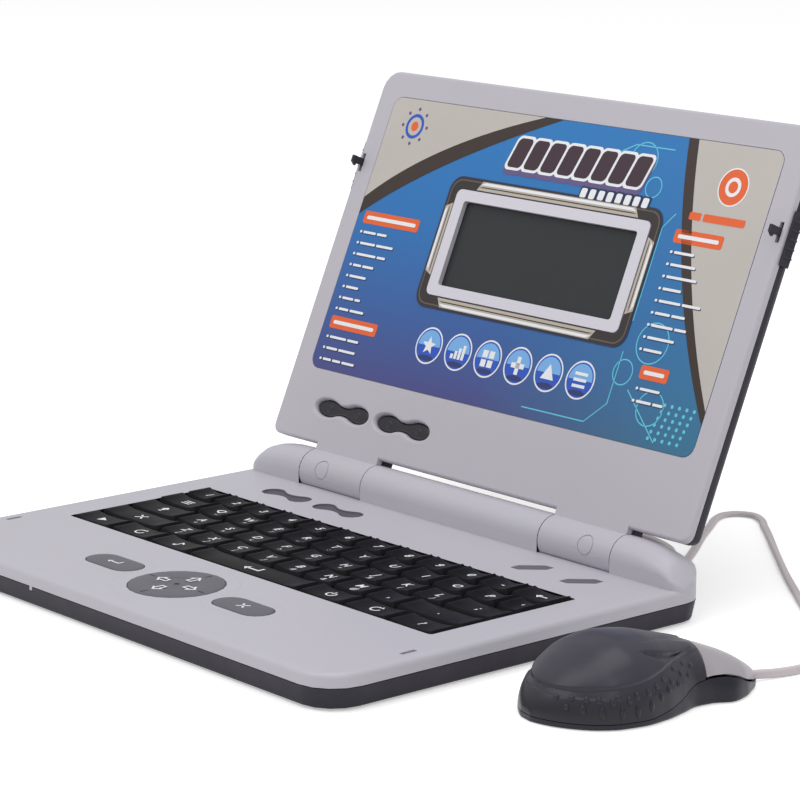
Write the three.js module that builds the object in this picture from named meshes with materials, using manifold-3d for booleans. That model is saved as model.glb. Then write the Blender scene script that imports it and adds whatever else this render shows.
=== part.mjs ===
// Toy laptop computer with a corded mouse.
// Millimetres, +X right, +Y back, +Z up; the origin is the centre of the case's flat underside.
import * as THREE from 'three';
import { mergeVertices } from 'three/addons/utils/BufferGeometryUtils.js';
import Module from 'manifold-3d';

const wasm = await Module();
wasm.setup();

// Fits shared by every piece
const fitGap = 0.3;
const cutOverrun = 6;

// Case: pale upper half on a dark tray
const caseWidth = 290;
const caseDepth = 207.5;
const frontCornerRadius = 17.5;
const backCornerRadius = 13;
const partingHeight = 8.6;
const deckHeight = 14.6;
const deckEdgeRadius = 2.75;
const undersideInset = 1.5;
const undersideEdge = 1;
const caseWall = 1.8;
const deckThickness = 2;
const floorThickness = 1.6;
const lipThickness = 1.2;
const lipHeight = 1.6;
const snapTabSize = 1.8;
const snapTabDepth = 1;
const snapTabPlace = -54.5;

// Hinge ridge along the back of the case
const hingeHeight = 20;
const ridgeRadius = 10;
const ridgeWall = 1.8;
const barrelSideInset = 39.85;
const barrelLength = 44.8;
const ridgeSlopeStart = 33;
const ridgeSlopeStop = 9;
const ridgeSlopeDrop = 3.4;
const ridgeFrontRound = 7;
const ridgeEndWall = 8;
const troughWall = 1.2;
const pinDiameter = 4.4;
const pinSeat = 3;
const barrelCapDiameter = 9.2;
const barrelCapInset = 15.75;
const barrelCapGroove = 0.4;

// Lid, drawn flat: x across, y up from the hinge axis, z out of its front
const lidLean = 23.5;
const lidHalfWidth = 140;
const lidStart = 12;
const lidHeight = 185;
const lidFront = 3.9;
const lidThickness = 10;
const lidFrontRim = 3.1;
const lidFrontEdge = 1.5;
const lidBackEdge = 4;
const lidTopRadius = 9.5;
const lidBottomRadius = 4.4;
const lidPlate = 1.8;
const lidWall = 1.8;

// Printed sheet and display on the lid
const sheetSideMargin = 12.4;
const sheetBottom = 35.2;
const sheetTopMargin = 12.7;
const sheetRadius = 5.5;
const sheetThickness = 0.35;
const bezelHalfWidth = 63.8;
const bezelBottom = 81;
const bezelTop = 132.7;
const bezelRadius = 3;
const bezelRise = 0.6;
const displayHalfWidth = 57.4;
const displayBottom = 86.2;
const displayTop = 127.4;
const displayRadius = 1.5;
const displayMargin = 4;
const displayThickness = 2;
const boardThickness = 1.6;

// Figure-eight rockers on the lid and matching inlays on the deck
const rockerLength = 35;
const rockerLobe = 11.3;
const rockerWaist = 5;
const rockerLevel = 17.6;
const rockerInsets = [46.2, 90];
const rockerRise = 0.5;
const rockerDepth = 3;
const rockerGap = 0.4;
const rockerEarWidth = 5;
const rockerEarLength = 2;
const inlayLength = 30.4;
const inlayLobe = 10.8;
const inlayWaist = 4.5;
const inlayDepth = 1;
const inlaySetback = 29.05;
const inlayInsets = [54.4, 91.9];
const barLength = 18.3;
const barWidth = 6.7;
const barTurn = 47;
const barInsets = [68, 38.6];
const barSetbacks = [28.25, 27.35];

// Latch sliders in the lid's edges and their slots in the deck
const hookInset = 2.8;
const hookThickness = 1.6;
const hookReach = 6.5;
const hookShank = 3.4;
const hookBarb = 1.4;
const hookBarbHeight = 2.2;
const hookTip = 146.5;
const latchDown = 1.2;
const latchUp = 2.5;
const latchBodyLength = 22;
const latchBodyWidth = 2.4;
const latchNeck = 3;
const latchNeckLength = 16;
const latchKnobLength = 24;
const latchKnobWidth = 5;
const latchKnobRise = 1.4;
const latchKnobCentre = 148;
const latchRibs = 5;
const latchRibHeight = 0.4;

// Keyboard in its well
const keyWellSideInset = 20;
const keyWellFrontInset = 69.45;
const keyWellSetback = 48.05;
const keyWellRadius = 1.5;
const keyWellWall = 1.5;
const keyPlateTop = 10.2;
const keyPlateThickness = 1.2;
const keyGap = 0.7;
const keyBottom = 11.4;
const keyTop = 15.2;
const keySideTaper = 1.7;
const keyFrontTaper = 1.9;
const keyBackTaper = 1;
const keyCorner = 0.9;
const stemSize = 4;
const stemHookReach = 0.9;
const stemHookHeight = 0.6;
const keyRailWidth = 3;
const keyRailHeight = 0.8;

// Every row from the back to the front; the shares are key widths in key pitches
const keyRowShare = 12.25;
const twinStemShare = 1.9;
const keyRows = [
  { comb: 'number_key_comb', singles: 11, rightShares: { key_backspace: 1.25 } },
  {
    comb: 'upper_letter_key_comb',
    leftShares: { key_mode: 1.45 },
    singles: 10,
    rightShares: { key_accent: 0.8 },
  },
  {
    comb: 'middle_letter_key_comb',
    leftShares: { key_capslock: 1.72 },
    singles: 9,
    rightShares: { key_quote: 1.53 },
  },
  {
    comb: 'lower_letter_key_comb',
    leftShares: { key_all_clear: 2.18 },
    singles: 8,
    rightShares: { key_full_stop: 2.07 },
  },
  {
    leftShares: {
      key_play: 1.415,
      key_repeat_left: 1.415,
      key_music: 1.415,
      key_enter_bar: 3.76,
      key_off: 1.415,
      key_repeat_right: 1.415,
      key_help: 1.415,
    },
  },
];

// Buttons on the palm rest
const stadiumLength = 32.5;
const stadiumWidth = 15;
const stadiumOffset = 45;
const stadiumInset = 37.45;
const buttonGap = 0.4;
const buttonRise = 0.4;
const buttonCrown = 0.5;
const buttonFlange = 1.2;
const buttonTravel = 1;
const buttonStem = 5;
const padDiameter = 41.5;
const padInset = 36.95;
const padRise = 0.15;
const padCrown = 0.25;
const padThickness = 2.2;
const padSocketWall = 1.2;
const padWellWall = 1.5;
const pivotBallRadius = 3;
const pivotHeight = 12.2;
const pivotNeck = 1.8;
const pivotFlange = 4;
const pivotFlangeHeight = 0.8;

// Electronics and cells inside the case
const boardLevel = 3.4;
const boardSideInset = 27;
const boardSetback = 43.75;
const boardNeckInset = 87;
const boardFrontInset = 17.75;
const boardPost = 6;
const matMargin = 2;
const matThickness = 0.8;
const domeWidth = 6;
const domeHeight = 0.6;
const cellDiameter = 10.5;
const cellLength = 44.5;
const cellTipDiameter = 3.8;
const cellTipLength = 0.8;
const cellCount = 3;
const cellPitch = 11;
const cellBaySideInset = 49;
const cellBayFrontInset = 35.75;
const bayMargin = 0.8;
const bayWall = 1.2;
const doorThickness = 1.4;
const doorTabLength = 8;
const doorTabWidth = 9;
const doorScrewDiameter = 2.4;
const doorScrewHead = 5;
const doorScrewHeadHeight = 0.8;
const doorScrewLength = 6;
const speakerSideInset = 45;
const speakerFrontInset = 33.75;
const speakerRadius = 18;
const speakerHeight = 8;
const speakerMagnetRadius = 9;
const speakerRimHeight = 1.5;
const speakerRing = 1.2;
const speakerRingHeight = 3;
const grilleSlots = 7;
const grilleSlotWidth = 1.6;
const grillePitch = 4;
const grilleRadius = 14.5;

// Rubber feet
const footDiameter = 12;
const footRise = 1;
const footRecess = 0.8;
const footInset = 15;

// Cord gland in the back wall
const glandX = 20;
const glandZ = 5;
const glandBody = 6;
const glandFlange = 8;
const glandFlangeThickness = 1.2;
const glandNose = 3.6;
const glandNoseDiameter = 5;
const cordDiameter = 3;

// Mouse, drawn along its own axis: y forward to the nose, z up from the table
const mouseNoseX = 217;
const mouseNoseY = 55.7;
const mouseTurn = 12.6;
const mouseLength = 105;
const mouseHalfWidth = 29.5;
const mouseHeight = 29.8;
const mouseRoundness = 0.86;
const mouseWall = 1.6;
const mouseBottomEdge = 1.2;
const mouseGap = 0.3;
const mouseButtonGap = 0.8;
const mouseCapLine = 33.2;
const mouseCapSweep = 4;
const ballRadius = 7.5;
const ballCentre = 58;
const ballRingRadius = 12;
const ballRingThickness = 1.4;
const ballRingHole = 5.6;
const glideHeight = 0.4;
const glideWidth = 16;
const glideDepth = 5;
const glideInset = 16;

// Shares of the mouse's length, half width and height, from the tail to the nose
const mouseStationShares = [
  [0, 0.13, 0.17], [0.015, 0.28, 0.28], [0.048, 0.49, 0.44], [0.095, 0.69, 0.6],
  [0.162, 0.875, 0.78], [0.248, 0.985, 0.935], [0.333, 1, 0.995], [0.448, 0.91, 0.96],
  [0.543, 0.765, 0.88], [0.638, 0.61, 0.79], [0.7, 0.595, 0.71], [0.78, 0.665, 0.6],
  [0.857, 0.55, 0.47], [0.924, 0.35, 0.33], [0.976, 0.185, 0.205], [1, 0.12, 0.155],
];

// Height of the seam over the base, as shares of the mouse's length and height
const mouseSeamShares = [
  [-0.1, 0.085], [0.36, 0.09], [0.44, 0.124], [0.522, 0.188], [0.588, 0.275],
  [0.647, 0.33], [0.704, 0.349], [0.751, 0.355], [0.804, 0.315], [0.88, 0.195],
  [0.955, 0.11], [1.1, 0.08],
];

// Cord from the gland over the table to the mouse's nose: x, y and height of its middle
const cordLift = cordDiameter / 2;
const cordPoints = [
  [20, 108.9, 4.5], [19.8, 114, 4], [18.4, 124, 1.2], [15, 142, 0], [17, 160, 0],
  [23, 172, 0], [32, 177, 0], [42, 176, 0], [53.6, 172, 0], [61, 167, 0],
  [66, 160.4, 0], [67.6, 153, 0], [65.6, 145.5, 0], [64.4, 137.5, 0], [68.2, 130.4, 0],
  [75.6, 127.6, 0], [82.8, 130.6, 0], [86.4, 137.4, 0], [86, 145.2, 0], [81.4, 153.6, 0],
  [74, 164, 0], [63, 180, 0], [49.8, 198.3, 0], [38.6, 215.4, 0], [31.8, 225.6, 0],
  [28.8, 234.4, 0], [31.4, 241.4, 0], [38.6, 244.6, 0], [47.4, 240.8, 0], [57, 231.6, 0],
  [67, 224.3, 0], [91.7, 202.8, 0], [120.6, 178.2, 0], [150.2, 154.5, 0], [170, 138.6, 0],
  [189, 123, 0], [207, 106.5, 0], [218, 91.5, 0], [221.5, 78, 0], [219.6, 65, 0.3],
  [217.1, 56.1, 0.9],
];
const cordSides = 8;
const cordSteps = 74;

// Steps of the round stretches
const cornerSteps = 4;
const edgeSteps = 3;
const barrelSteps = 28;
const buttonSteps = 24;
const smallSteps = 12;
const grilleSteps = 2;
const keyCornerSteps = 1;

// Places worked out from the sizes above
const half = 1 / 2;
const quarterTurn = Math.PI / 2;
const tableHeight = -footRise;
const halfCase = caseWidth * half;
const frontEdge = -caseDepth * half;
const hingeY = caseDepth * half - ridgeRadius;
const barrelOuter = halfCase - barrelSideInset;
const barrelInner = barrelOuter - barrelLength;
const barrelCapOffset = barrelOuter - barrelCapInset;
const ridgeFlatEnd = halfCase - ridgeSlopeStart;
const ridgeSlopeEnd = halfCase - ridgeSlopeStop;
const inlayRow = hingeY - inlaySetback;
const inlayPlaces = inlayInsets.map((inset) => inset - halfCase);
const barPlaces = barInsets.map((inset, index) => [halfCase - inset, hingeY - barSetbacks[index]]);
const keyWellHalfWidth = halfCase - keyWellSideInset;
const keyWellFront = frontEdge + keyWellFrontInset;
const keyWellBack = hingeY - keyWellSetback;
const stadiumRow = frontEdge + stadiumInset;
const padRow = frontEdge + padInset;
const cellBayX = halfCase - cellBaySideInset;
const cellBayY = frontEdge + cellBayFrontInset;
const speakerX = speakerSideInset - halfCase;
const speakerY = frontEdge + speakerFrontInset;
const boardHalfWidth = halfCase - boardSideInset;
const boardNeckHalfWidth = halfCase - boardNeckInset;
const boardBack = hingeY - boardSetback;
const boardFront = frontEdge + boardFrontInset;
const rockerPlaces = rockerInsets.map((inset) => inset - lidHalfWidth);
const hookOffset = lidHalfWidth - hookInset;
const sheetHalfWidth = lidHalfWidth - sheetSideMargin;
const sheetTop = lidHeight - sheetTopMargin;
const deckUnderside = deckHeight - deckThickness;
const lowerTop = partingHeight - fitGap * half;
const upperBottom = partingHeight + fitGap * half;
const lidTop = lidStart + lidHeight;
const lidBack = lidFront - lidThickness;
const lidSeamFront = lidFront - lidFrontRim;
const lidSeamBack = lidSeamFront - fitGap;
const keyPitch = keyWellHalfWidth / keyRowShare / half;
const keyRowPitch = (keyWellBack - keyWellFront) / keyRows.length;
const keyPlateBottom = keyPlateTop - keyPlateThickness;
const stemEnd = keyPlateBottom - fitGap - stemHookHeight;
const boardTop = boardLevel + boardThickness;
const matTop = boardTop + fitGap + matThickness;
const slotStart = hookTip - fitGap;
const slotEnd = hookTip + hookBarb + hookShank + latchUp + fitGap;
const barrelHalfLength = (barrelOuter - barrelInner - fitGap) * half;
const barrelMiddle = (barrelOuter + barrelInner) * half;
const barrelMiddles = [-barrelMiddle, barrelMiddle];

// Colours and finishes, as [colour, roughness, metalness]
const finishes = {
  paleShell: [0xbcb9c4, 0.5, 0],
  darkShell: [0x3d3b45, 0.45, 0],
  blackKey: [0x242226, 0.4, 0],
  greyButton: [0x5e5c63, 0.55, 0],
  rubber: [0x1d1c1f, 0.85, 0],
  overlay: [0x4a6fb5, 0.35, 0],
  display: [0x3c4244, 0.2, 0],
  board: [0x2f6b3c, 0.6, 0],
  steel: [0xb5b5b8, 0.3, 1],
  cell: [0x7d838a, 0.35, 0.6],
  mouseShell: [0x4c4b55, 0.3, 0],
  silver: [0xaaa5aa, 0.35, 0.4],
  cord: [0xbfb5b7, 0.55, 0],
};

// Solids are plain three.js geometry until a boolean needs them
function toSolid(geometry) {
  const bare = geometry.clone();
  bare.deleteAttribute('normal');
  bare.deleteAttribute('uv');
  const merged = mergeVertices(bare);
  return new wasm.Manifold(new wasm.Mesh({
    numProp: 3,
    vertProperties: merged.attributes.position.array,
    triVerts: new Uint32Array(merged.index.array),
  }));
}

function toGeometry(solid) {
  const mesh = solid.getMesh();
  const geometry = new THREE.BufferGeometry();
  geometry.setAttribute('position', new THREE.BufferAttribute(mesh.vertProperties, 3));
  geometry.setIndex(new THREE.BufferAttribute(mesh.triVerts, 1));
  return geometry;
}

function joined(geometries) {
  return toGeometry(geometries.map(toSolid).reduce((whole, next) => whole.add(next)));
}

function cut(geometry, tools) {
  const solid = tools.map(toSolid).reduce((whole, tool) => whole.subtract(tool), toSolid(geometry));
  return toGeometry(solid);
}

function shared(first, second) {
  return toGeometry(toSolid(first).intersect(toSolid(second)));
}

// Box between two corners
function block([left, front, bottom], [right, back, top]) {
  return new THREE.BoxGeometry(right - left, back - front, top - bottom)
    .translate((left + right) * half, (front + back) * half, (bottom + top) * half);
}

// Upright prism of an outline
function slab(shape, bottom, top, curveSegments = cornerSteps) {
  return new THREE.ExtrudeGeometry(shape, { depth: top - bottom, bevelEnabled: false, curveSegments })
    .translate(0, 0, bottom);
}

// Upright cylinder
function post(radius, bottom, top, x = 0, y = 0, steps = smallSteps) {
  return new THREE.CylinderGeometry(radius, radius, top - bottom, steps)
    .rotateX(quarterTurn)
    .translate(x, y, (bottom + top) * half);
}

// Cylinder along X
function rodAcross(radius, left, right, y, z, steps = smallSteps) {
  return new THREE.CylinderGeometry(radius, radius, right - left, steps)
    .rotateZ(quarterTurn)
    .translate((left + right) * half, y, z);
}

// Solid of revolution about Z, from a profile of radii and heights
function turned(profile, steps) {
  return new THREE.LatheGeometry(profile.map(([radius, z]) => new THREE.Vector2(radius, z)), steps)
    .rotateX(quarterTurn);
}

// Outline of a rectangle whose front and back corners have their own radii
function roundedOutline(bounds, grow = 0, steps = cornerSteps) {
  const corners = [
    [bounds.halfWidth, bounds.back, bounds.backRadius, 0],
    [-bounds.halfWidth, bounds.back, bounds.backRadius, 1],
    [-bounds.halfWidth, bounds.front, bounds.frontRadius, 2],
    [bounds.halfWidth, bounds.front, bounds.frontRadius, 3],
  ];
  return corners.flatMap(([x, y, radius, quarter]) => {
    const centreX = x - Math.sign(x) * radius;
    const centreY = quarter < 2 ? y - radius : y + radius;
    return Array.from({ length: steps + 1 }, (_, step) => {
      const angle = (quarter + step / steps) * quarterTurn;
      return new THREE.Vector2(
        centreX + (radius + grow) * Math.cos(angle),
        centreY + (radius + grow) * Math.sin(angle),
      );
    });
  });
}

function rectangle(halfWidth, front, back, radius) {
  return { halfWidth, front, back, frontRadius: radius, backRadius: radius };
}

function roundedShape(bounds, grow = 0, steps = cornerSteps) {
  return new THREE.Shape(roundedOutline(bounds, grow, steps));
}

// Closed skin over rings of equal length, each turning counter-clockwise seen from the last ring
function loft(rings) {
  const count = rings[0].length;
  const points = rings.flat();
  const faces = [];
  for (let row = 0; row + 1 < rings.length; row += 1) {
    for (let step = 0; step < count; step += 1) {
      const near = row * count + step;
      const next = row * count + (step + 1) % count;
      faces.push(near, next, next + count, near, next + count, near + count);
    }
  }
  const last = (rings.length - 1) * count;
  for (let step = 1; step + 1 < count; step += 1) {
    faces.push(0, step + 1, step, last, last + step, last + step + 1);
  }
  const geometry = new THREE.BufferGeometry().setFromPoints(points);
  geometry.setIndex(faces);
  return geometry;
}

// Loft of one outline at several levels, each with its own inset
function layered(bounds, levels, steps = cornerSteps) {
  return loft(levels.map(([z, inset]) => roundedOutline(bounds, -inset, steps)
    .map((point) => new THREE.Vector3(point.x, point.y, z))));
}

// Levels that round an edge: from the wall to the face it turns into
function edgeLevels(face, radius, direction, steps = edgeSteps) {
  return Array.from({ length: steps + 1 }, (_, step) => {
    const angle = step / steps * quarterTurn;
    return [face - direction * radius * (1 - Math.sin(angle)), radius * (1 - Math.cos(angle))];
  });
}

function stadiumShape(length, width, grow = 0) {
  const radius = width * half + grow;
  const reach = (length - width) * half;
  const shape = new THREE.Shape();
  shape.absarc(reach, 0, radius, -quarterTurn, quarterTurn);
  shape.absarc(-reach, 0, radius, quarterTurn, quarterTurn * 3);
  return shape;
}

// Two round lobes with a smooth waist between them
function figureEightShape(length, lobe, waist, grow = 0) {
  const lobeRadius = lobe * half;
  const waistHalf = waist * half;
  const reach = length * half - lobeRadius;
  const hollow = (reach ** 2 + waistHalf ** 2 - lobeRadius ** 2) / (lobeRadius - waistHalf) * half;
  const centre = waistHalf + hollow;
  const lean = Math.atan2(centre, reach);
  const shape = new THREE.Shape();
  shape.absarc(reach, 0, lobeRadius + grow, lean - Math.PI, Math.PI - lean);
  shape.absarc(0, centre, hollow - grow, -lean, lean - Math.PI, true);
  shape.absarc(-reach, 0, lobeRadius + grow, lean, Math.PI * 2 - lean);
  shape.absarc(0, -centre, hollow - grow, Math.PI - lean, lean, true);
  return shape;
}

// Slanted bar with a point at either end
function pointedBarShape(grow = 0) {
  const side = barWidth * half + grow;
  const tip = barLength * half + grow * Math.SQRT2;
  const turn = THREE.MathUtils.degToRad(barTurn);
  const points = [
    [tip, 0],
    [tip - side, side],
    [side - tip, side],
    [-tip, 0],
    [side - tip, -side],
    [tip - side, -side],
  ];
  return new THREE.Shape(points.map(([along, across]) => new THREE.Vector2(along, across)
    .rotateAround(new THREE.Vector2(), turn)));
}

// Named pieces, each in its own colour
const group = new THREE.Group();

function addPiece(parent, name, geometry, finish, position = [0, 0, 0]) {
  const [color, roughness, metalness] = finishes[finish];
  const mesh = new THREE.Mesh(geometry, new THREE.MeshStandardMaterial({ color, roughness, metalness }));
  mesh.name = name;
  mesh.position.set(...position);
  parent.add(mesh);
  return mesh;
}

// Case outline and the prisms that hollow it
const caseBounds = {
  halfWidth: caseWidth * half,
  front: -caseDepth * half,
  back: caseDepth * half,
  frontRadius: frontCornerRadius,
  backRadius: backCornerRadius,
};
const keyWell = rectangle(keyWellHalfWidth, keyWellFront, keyWellBack, keyWellRadius);
const footPlaces = [-1, 1].flatMap((side) => [-1, 1].map((end) => [
  side * (caseWidth * half - footInset),
  end * (caseDepth * half - footInset),
]));
const bayHalfLength = cellLength * half + cellTipLength + bayMargin;
const bayHalfWidth = (cellPitch * (cellCount - 1) + cellDiameter) * half + bayMargin;
const screwX = cellBayX - bayHalfLength - bayWall - doorTabLength * half;
const boardPosts = [-1, 0, 1].flatMap((column) => [boardBack - boardPost, keyWellFront].map((y) => [
  column * (boardHalfWidth - boardPost),
  y,
]));

// Dark tray: floor, walls, lip, cell bay, posts and grille
function lowerCase() {
  const bottomLevels = edgeLevels(0, undersideEdge, -1)
    .reverse()
    .map(([z, inset]) => [z, inset + undersideInset]);
  const outside = layered(caseBounds, [...bottomLevels, [lowerTop, 0]]);
  const lipOuter = caseWall + fitGap;
  const lipInner = lipOuter + lipThickness;
  const hollow = layered(caseBounds, [[floorThickness, lipInner], [lowerTop + cutOverrun, lipInner]]);
  const lip = layered(caseBounds, [
    [partingHeight * half, lipOuter],
    [partingHeight + lipHeight, lipOuter],
  ]);
  const tray = cut(joined([outside, lip]), [hollow]);

  const bayOuterX = bayHalfLength + bayWall;
  const bayOuterY = bayHalfWidth + bayWall;
  const bayTop = deckUnderside - fitGap;
  const tabHalf = doorTabWidth * half;
  const bayBlock = block(
    [cellBayX - bayOuterX, cellBayY - bayOuterY, 0],
    [cellBayX + bayOuterX, cellBayY + bayOuterY, bayTop],
  );
  const screwBoss = block(
    [cellBayX - bayOuterX - doorTabLength - bayWall, cellBayY - tabHalf - bayWall, 0],
    [cellBayX - bayOuterX + bayWall, cellBayY + tabHalf + bayWall, doorScrewLength + bayWall],
  );
  const bayHollow = block(
    [cellBayX - bayHalfLength, cellBayY - bayHalfWidth, -cutOverrun],
    [cellBayX + bayHalfLength, cellBayY + bayHalfWidth, bayTop + cutOverrun],
  );
  const tabHollow = block(
    [cellBayX - bayOuterX - doorTabLength - fitGap, cellBayY - tabHalf - fitGap, -cutOverrun],
    [cellBayX, cellBayY + tabHalf + fitGap, doorThickness + fitGap],
  );
  const screwHole = post(doorScrewDiameter * half + fitGap, 0, doorScrewLength + fitGap, screwX, cellBayY);

  const posts = boardPosts.map(([x, y]) => post(
    boardPost * half,
    floorThickness * half,
    boardLevel - fitGap,
    x,
    y,
    smallSteps,
  ));
  const speakerSeat = cut(
    post(
      speakerRadius + fitGap + speakerRing,
      floorThickness * half,
      floorThickness + speakerRingHeight,
      speakerX,
      speakerY,
      buttonSteps,
    ),
    [post(speakerRadius + fitGap, 0, floorThickness + cutOverrun, speakerX, speakerY, buttonSteps)],
  );
  const slots = Array.from({ length: grilleSlots }, (_, slot) => {
    const offset = (slot - (grilleSlots - 1) * half) * grillePitch;
    const reach = Math.sqrt(grilleRadius ** 2 - offset ** 2);
    return slab(stadiumShape(reach / half, grilleSlotWidth), -cutOverrun, cutOverrun, grilleSteps)
      .translate(speakerX, speakerY + offset, 0);
  });
  const feet = footPlaces.map(([x, y]) => post(
    footDiameter * half + fitGap,
    -cutOverrun,
    footRecess + fitGap,
    x,
    y,
  ));
  const notchHalf = snapTabSize * half + fitGap;
  const front = -caseDepth * half;
  const notch = block(
    [snapTabPlace - notchHalf, front - cutOverrun, upperBottom - snapTabSize - fitGap],
    [snapTabPlace + notchHalf, front + snapTabDepth + fitGap, lowerTop + fitGap],
  );
  const footPads = footPlaces.map(([x, y]) => post(
    footDiameter * half + caseWall,
    floorThickness * half,
    footRecess + fitGap + floorThickness,
    x,
    y,
  ));
  const gland = block(
    [glandX - glandBody * half - fitGap, caseDepth * half - cutOverrun, glandZ - glandBody * half - fitGap],
    [glandX + glandBody * half + fitGap, caseDepth * half + cutOverrun, lowerTop + lipHeight + cutOverrun],
  );
  const solid = joined([tray, bayBlock, screwBoss, ...posts, speakerSeat, ...footPads]);
  return cut(solid, [bayHollow, tabHollow, screwHole, ...slots, ...feet, notch, gland]);
}

// Crest of the ridge over the axis: level, then falling away towards the end
function ridgeCrest(x) {
  if (x <= ridgeFlatEnd) {
    return ridgeRadius;
  }
  const share = Math.min((x - ridgeFlatEnd) / (ridgeSlopeEnd - ridgeFlatEnd), 1);
  return ridgeRadius - ridgeSlopeDrop * share ** 2;
}

// Share of its height that the ridge keeps over its rounded end
function ridgeFall(x) {
  const endShare = Math.max(x - ridgeSlopeEnd, 0) / (halfCase - ridgeSlopeEnd);
  return Math.sqrt(1 - Math.min(endShare, 1) ** 2);
}

// One stretch of ridge: upright walls under a rounded crest
function ridgeStretch(stations, shrink = 0) {
  const arcSteps = 12;
  const foot = shrink > 0 ? -cutOverrun : partingHeight + fitGap * half;
  return loft(stations.map((x) => {
    const endRound = Math.max(Math.abs(x) - (caseWidth * half - ridgeFrontRound), 0);
    const setBack = ridgeFrontRound - Math.sqrt(Math.max(ridgeFrontRound ** 2 - endRound ** 2, 0));
    const front = hingeY - ridgeRadius + setBack + shrink;
    const back = hingeY + ridgeRadius - shrink;
    const middle = (front + back) * half;
    const fall = ridgeFall(Math.abs(x));
    const shoulder = deckHeight + (hingeHeight - deckHeight) * fall;
    const crest = Math.max(ridgeCrest(Math.abs(x)) * fall - shrink, fitGap);
    const arc = Array.from({ length: arcSteps + 1 }, (_, step) => {
      const angle = step / arcSteps * Math.PI;
      return new THREE.Vector3(
        x,
        middle + (back - front) * half * Math.cos(angle),
        shoulder + crest * Math.sin(angle),
      );
    });
    return [new THREE.Vector3(x, front, foot), new THREE.Vector3(x, back, foot), ...arc];
  }));
}

function towerStations() {
  const slopeSteps = 4;
  const endSteps = 6;
  const slope = Array.from({ length: slopeSteps + 1 }, (_, step) => (
    ridgeFlatEnd + (ridgeSlopeEnd - ridgeFlatEnd) * step / slopeSteps
  ));
  const end = Array.from({ length: endSteps }, (_, step) => (
    ridgeSlopeEnd + (caseWidth * half - ridgeSlopeEnd) * Math.sin((step + 1) / endSteps * quarterTurn)
  ));
  return [barrelOuter + fitGap * half, ...slope, ...end];
}

// Keys as places on the well: name, centre and size, worked out row by row
function keyPlaces() {
  return keyRows.flatMap((row, index) => {
    const y = keyWellBack - (index + half) * keyRowPitch;
    const widths = [
      ...Object.entries(row.leftShares ?? {}),
      ...Array.from({ length: row.singles ?? 0 }, () => [row.comb, 1]),
      ...Object.entries(row.rightShares ?? {}),
    ];
    let left = -keyWellHalfWidth;
    return widths.map(([name, share]) => {
      const width = share * keyPitch;
      left += width;
      return { name, x: left - width * half, y, width, stems: share > twinStemShare ? 2 : 1 };
    });
  });
}

const keys = keyPlaces();
const keyNames = [...new Set(keys.map((key) => key.name))];

function stemPlaces(key) {
  return key.stems === 1 ? [key.x] : [-1, 1].map((side) => key.x + side * key.width * half * half);
}

// Stretches that stems need in the plate and on the mat: a comb's stems share one
function stemSpans() {
  return keyNames.flatMap((name) => {
    const members = keys.filter((key) => key.name === name);
    const places = members.flatMap(stemPlaces);
    const spans = members.length > 1 ? [[places[0], places[places.length - 1]]] : places.map((x) => [x, x]);
    return spans.map(([first, last]) => [first, last, members[0].y]);
  });
}

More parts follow.
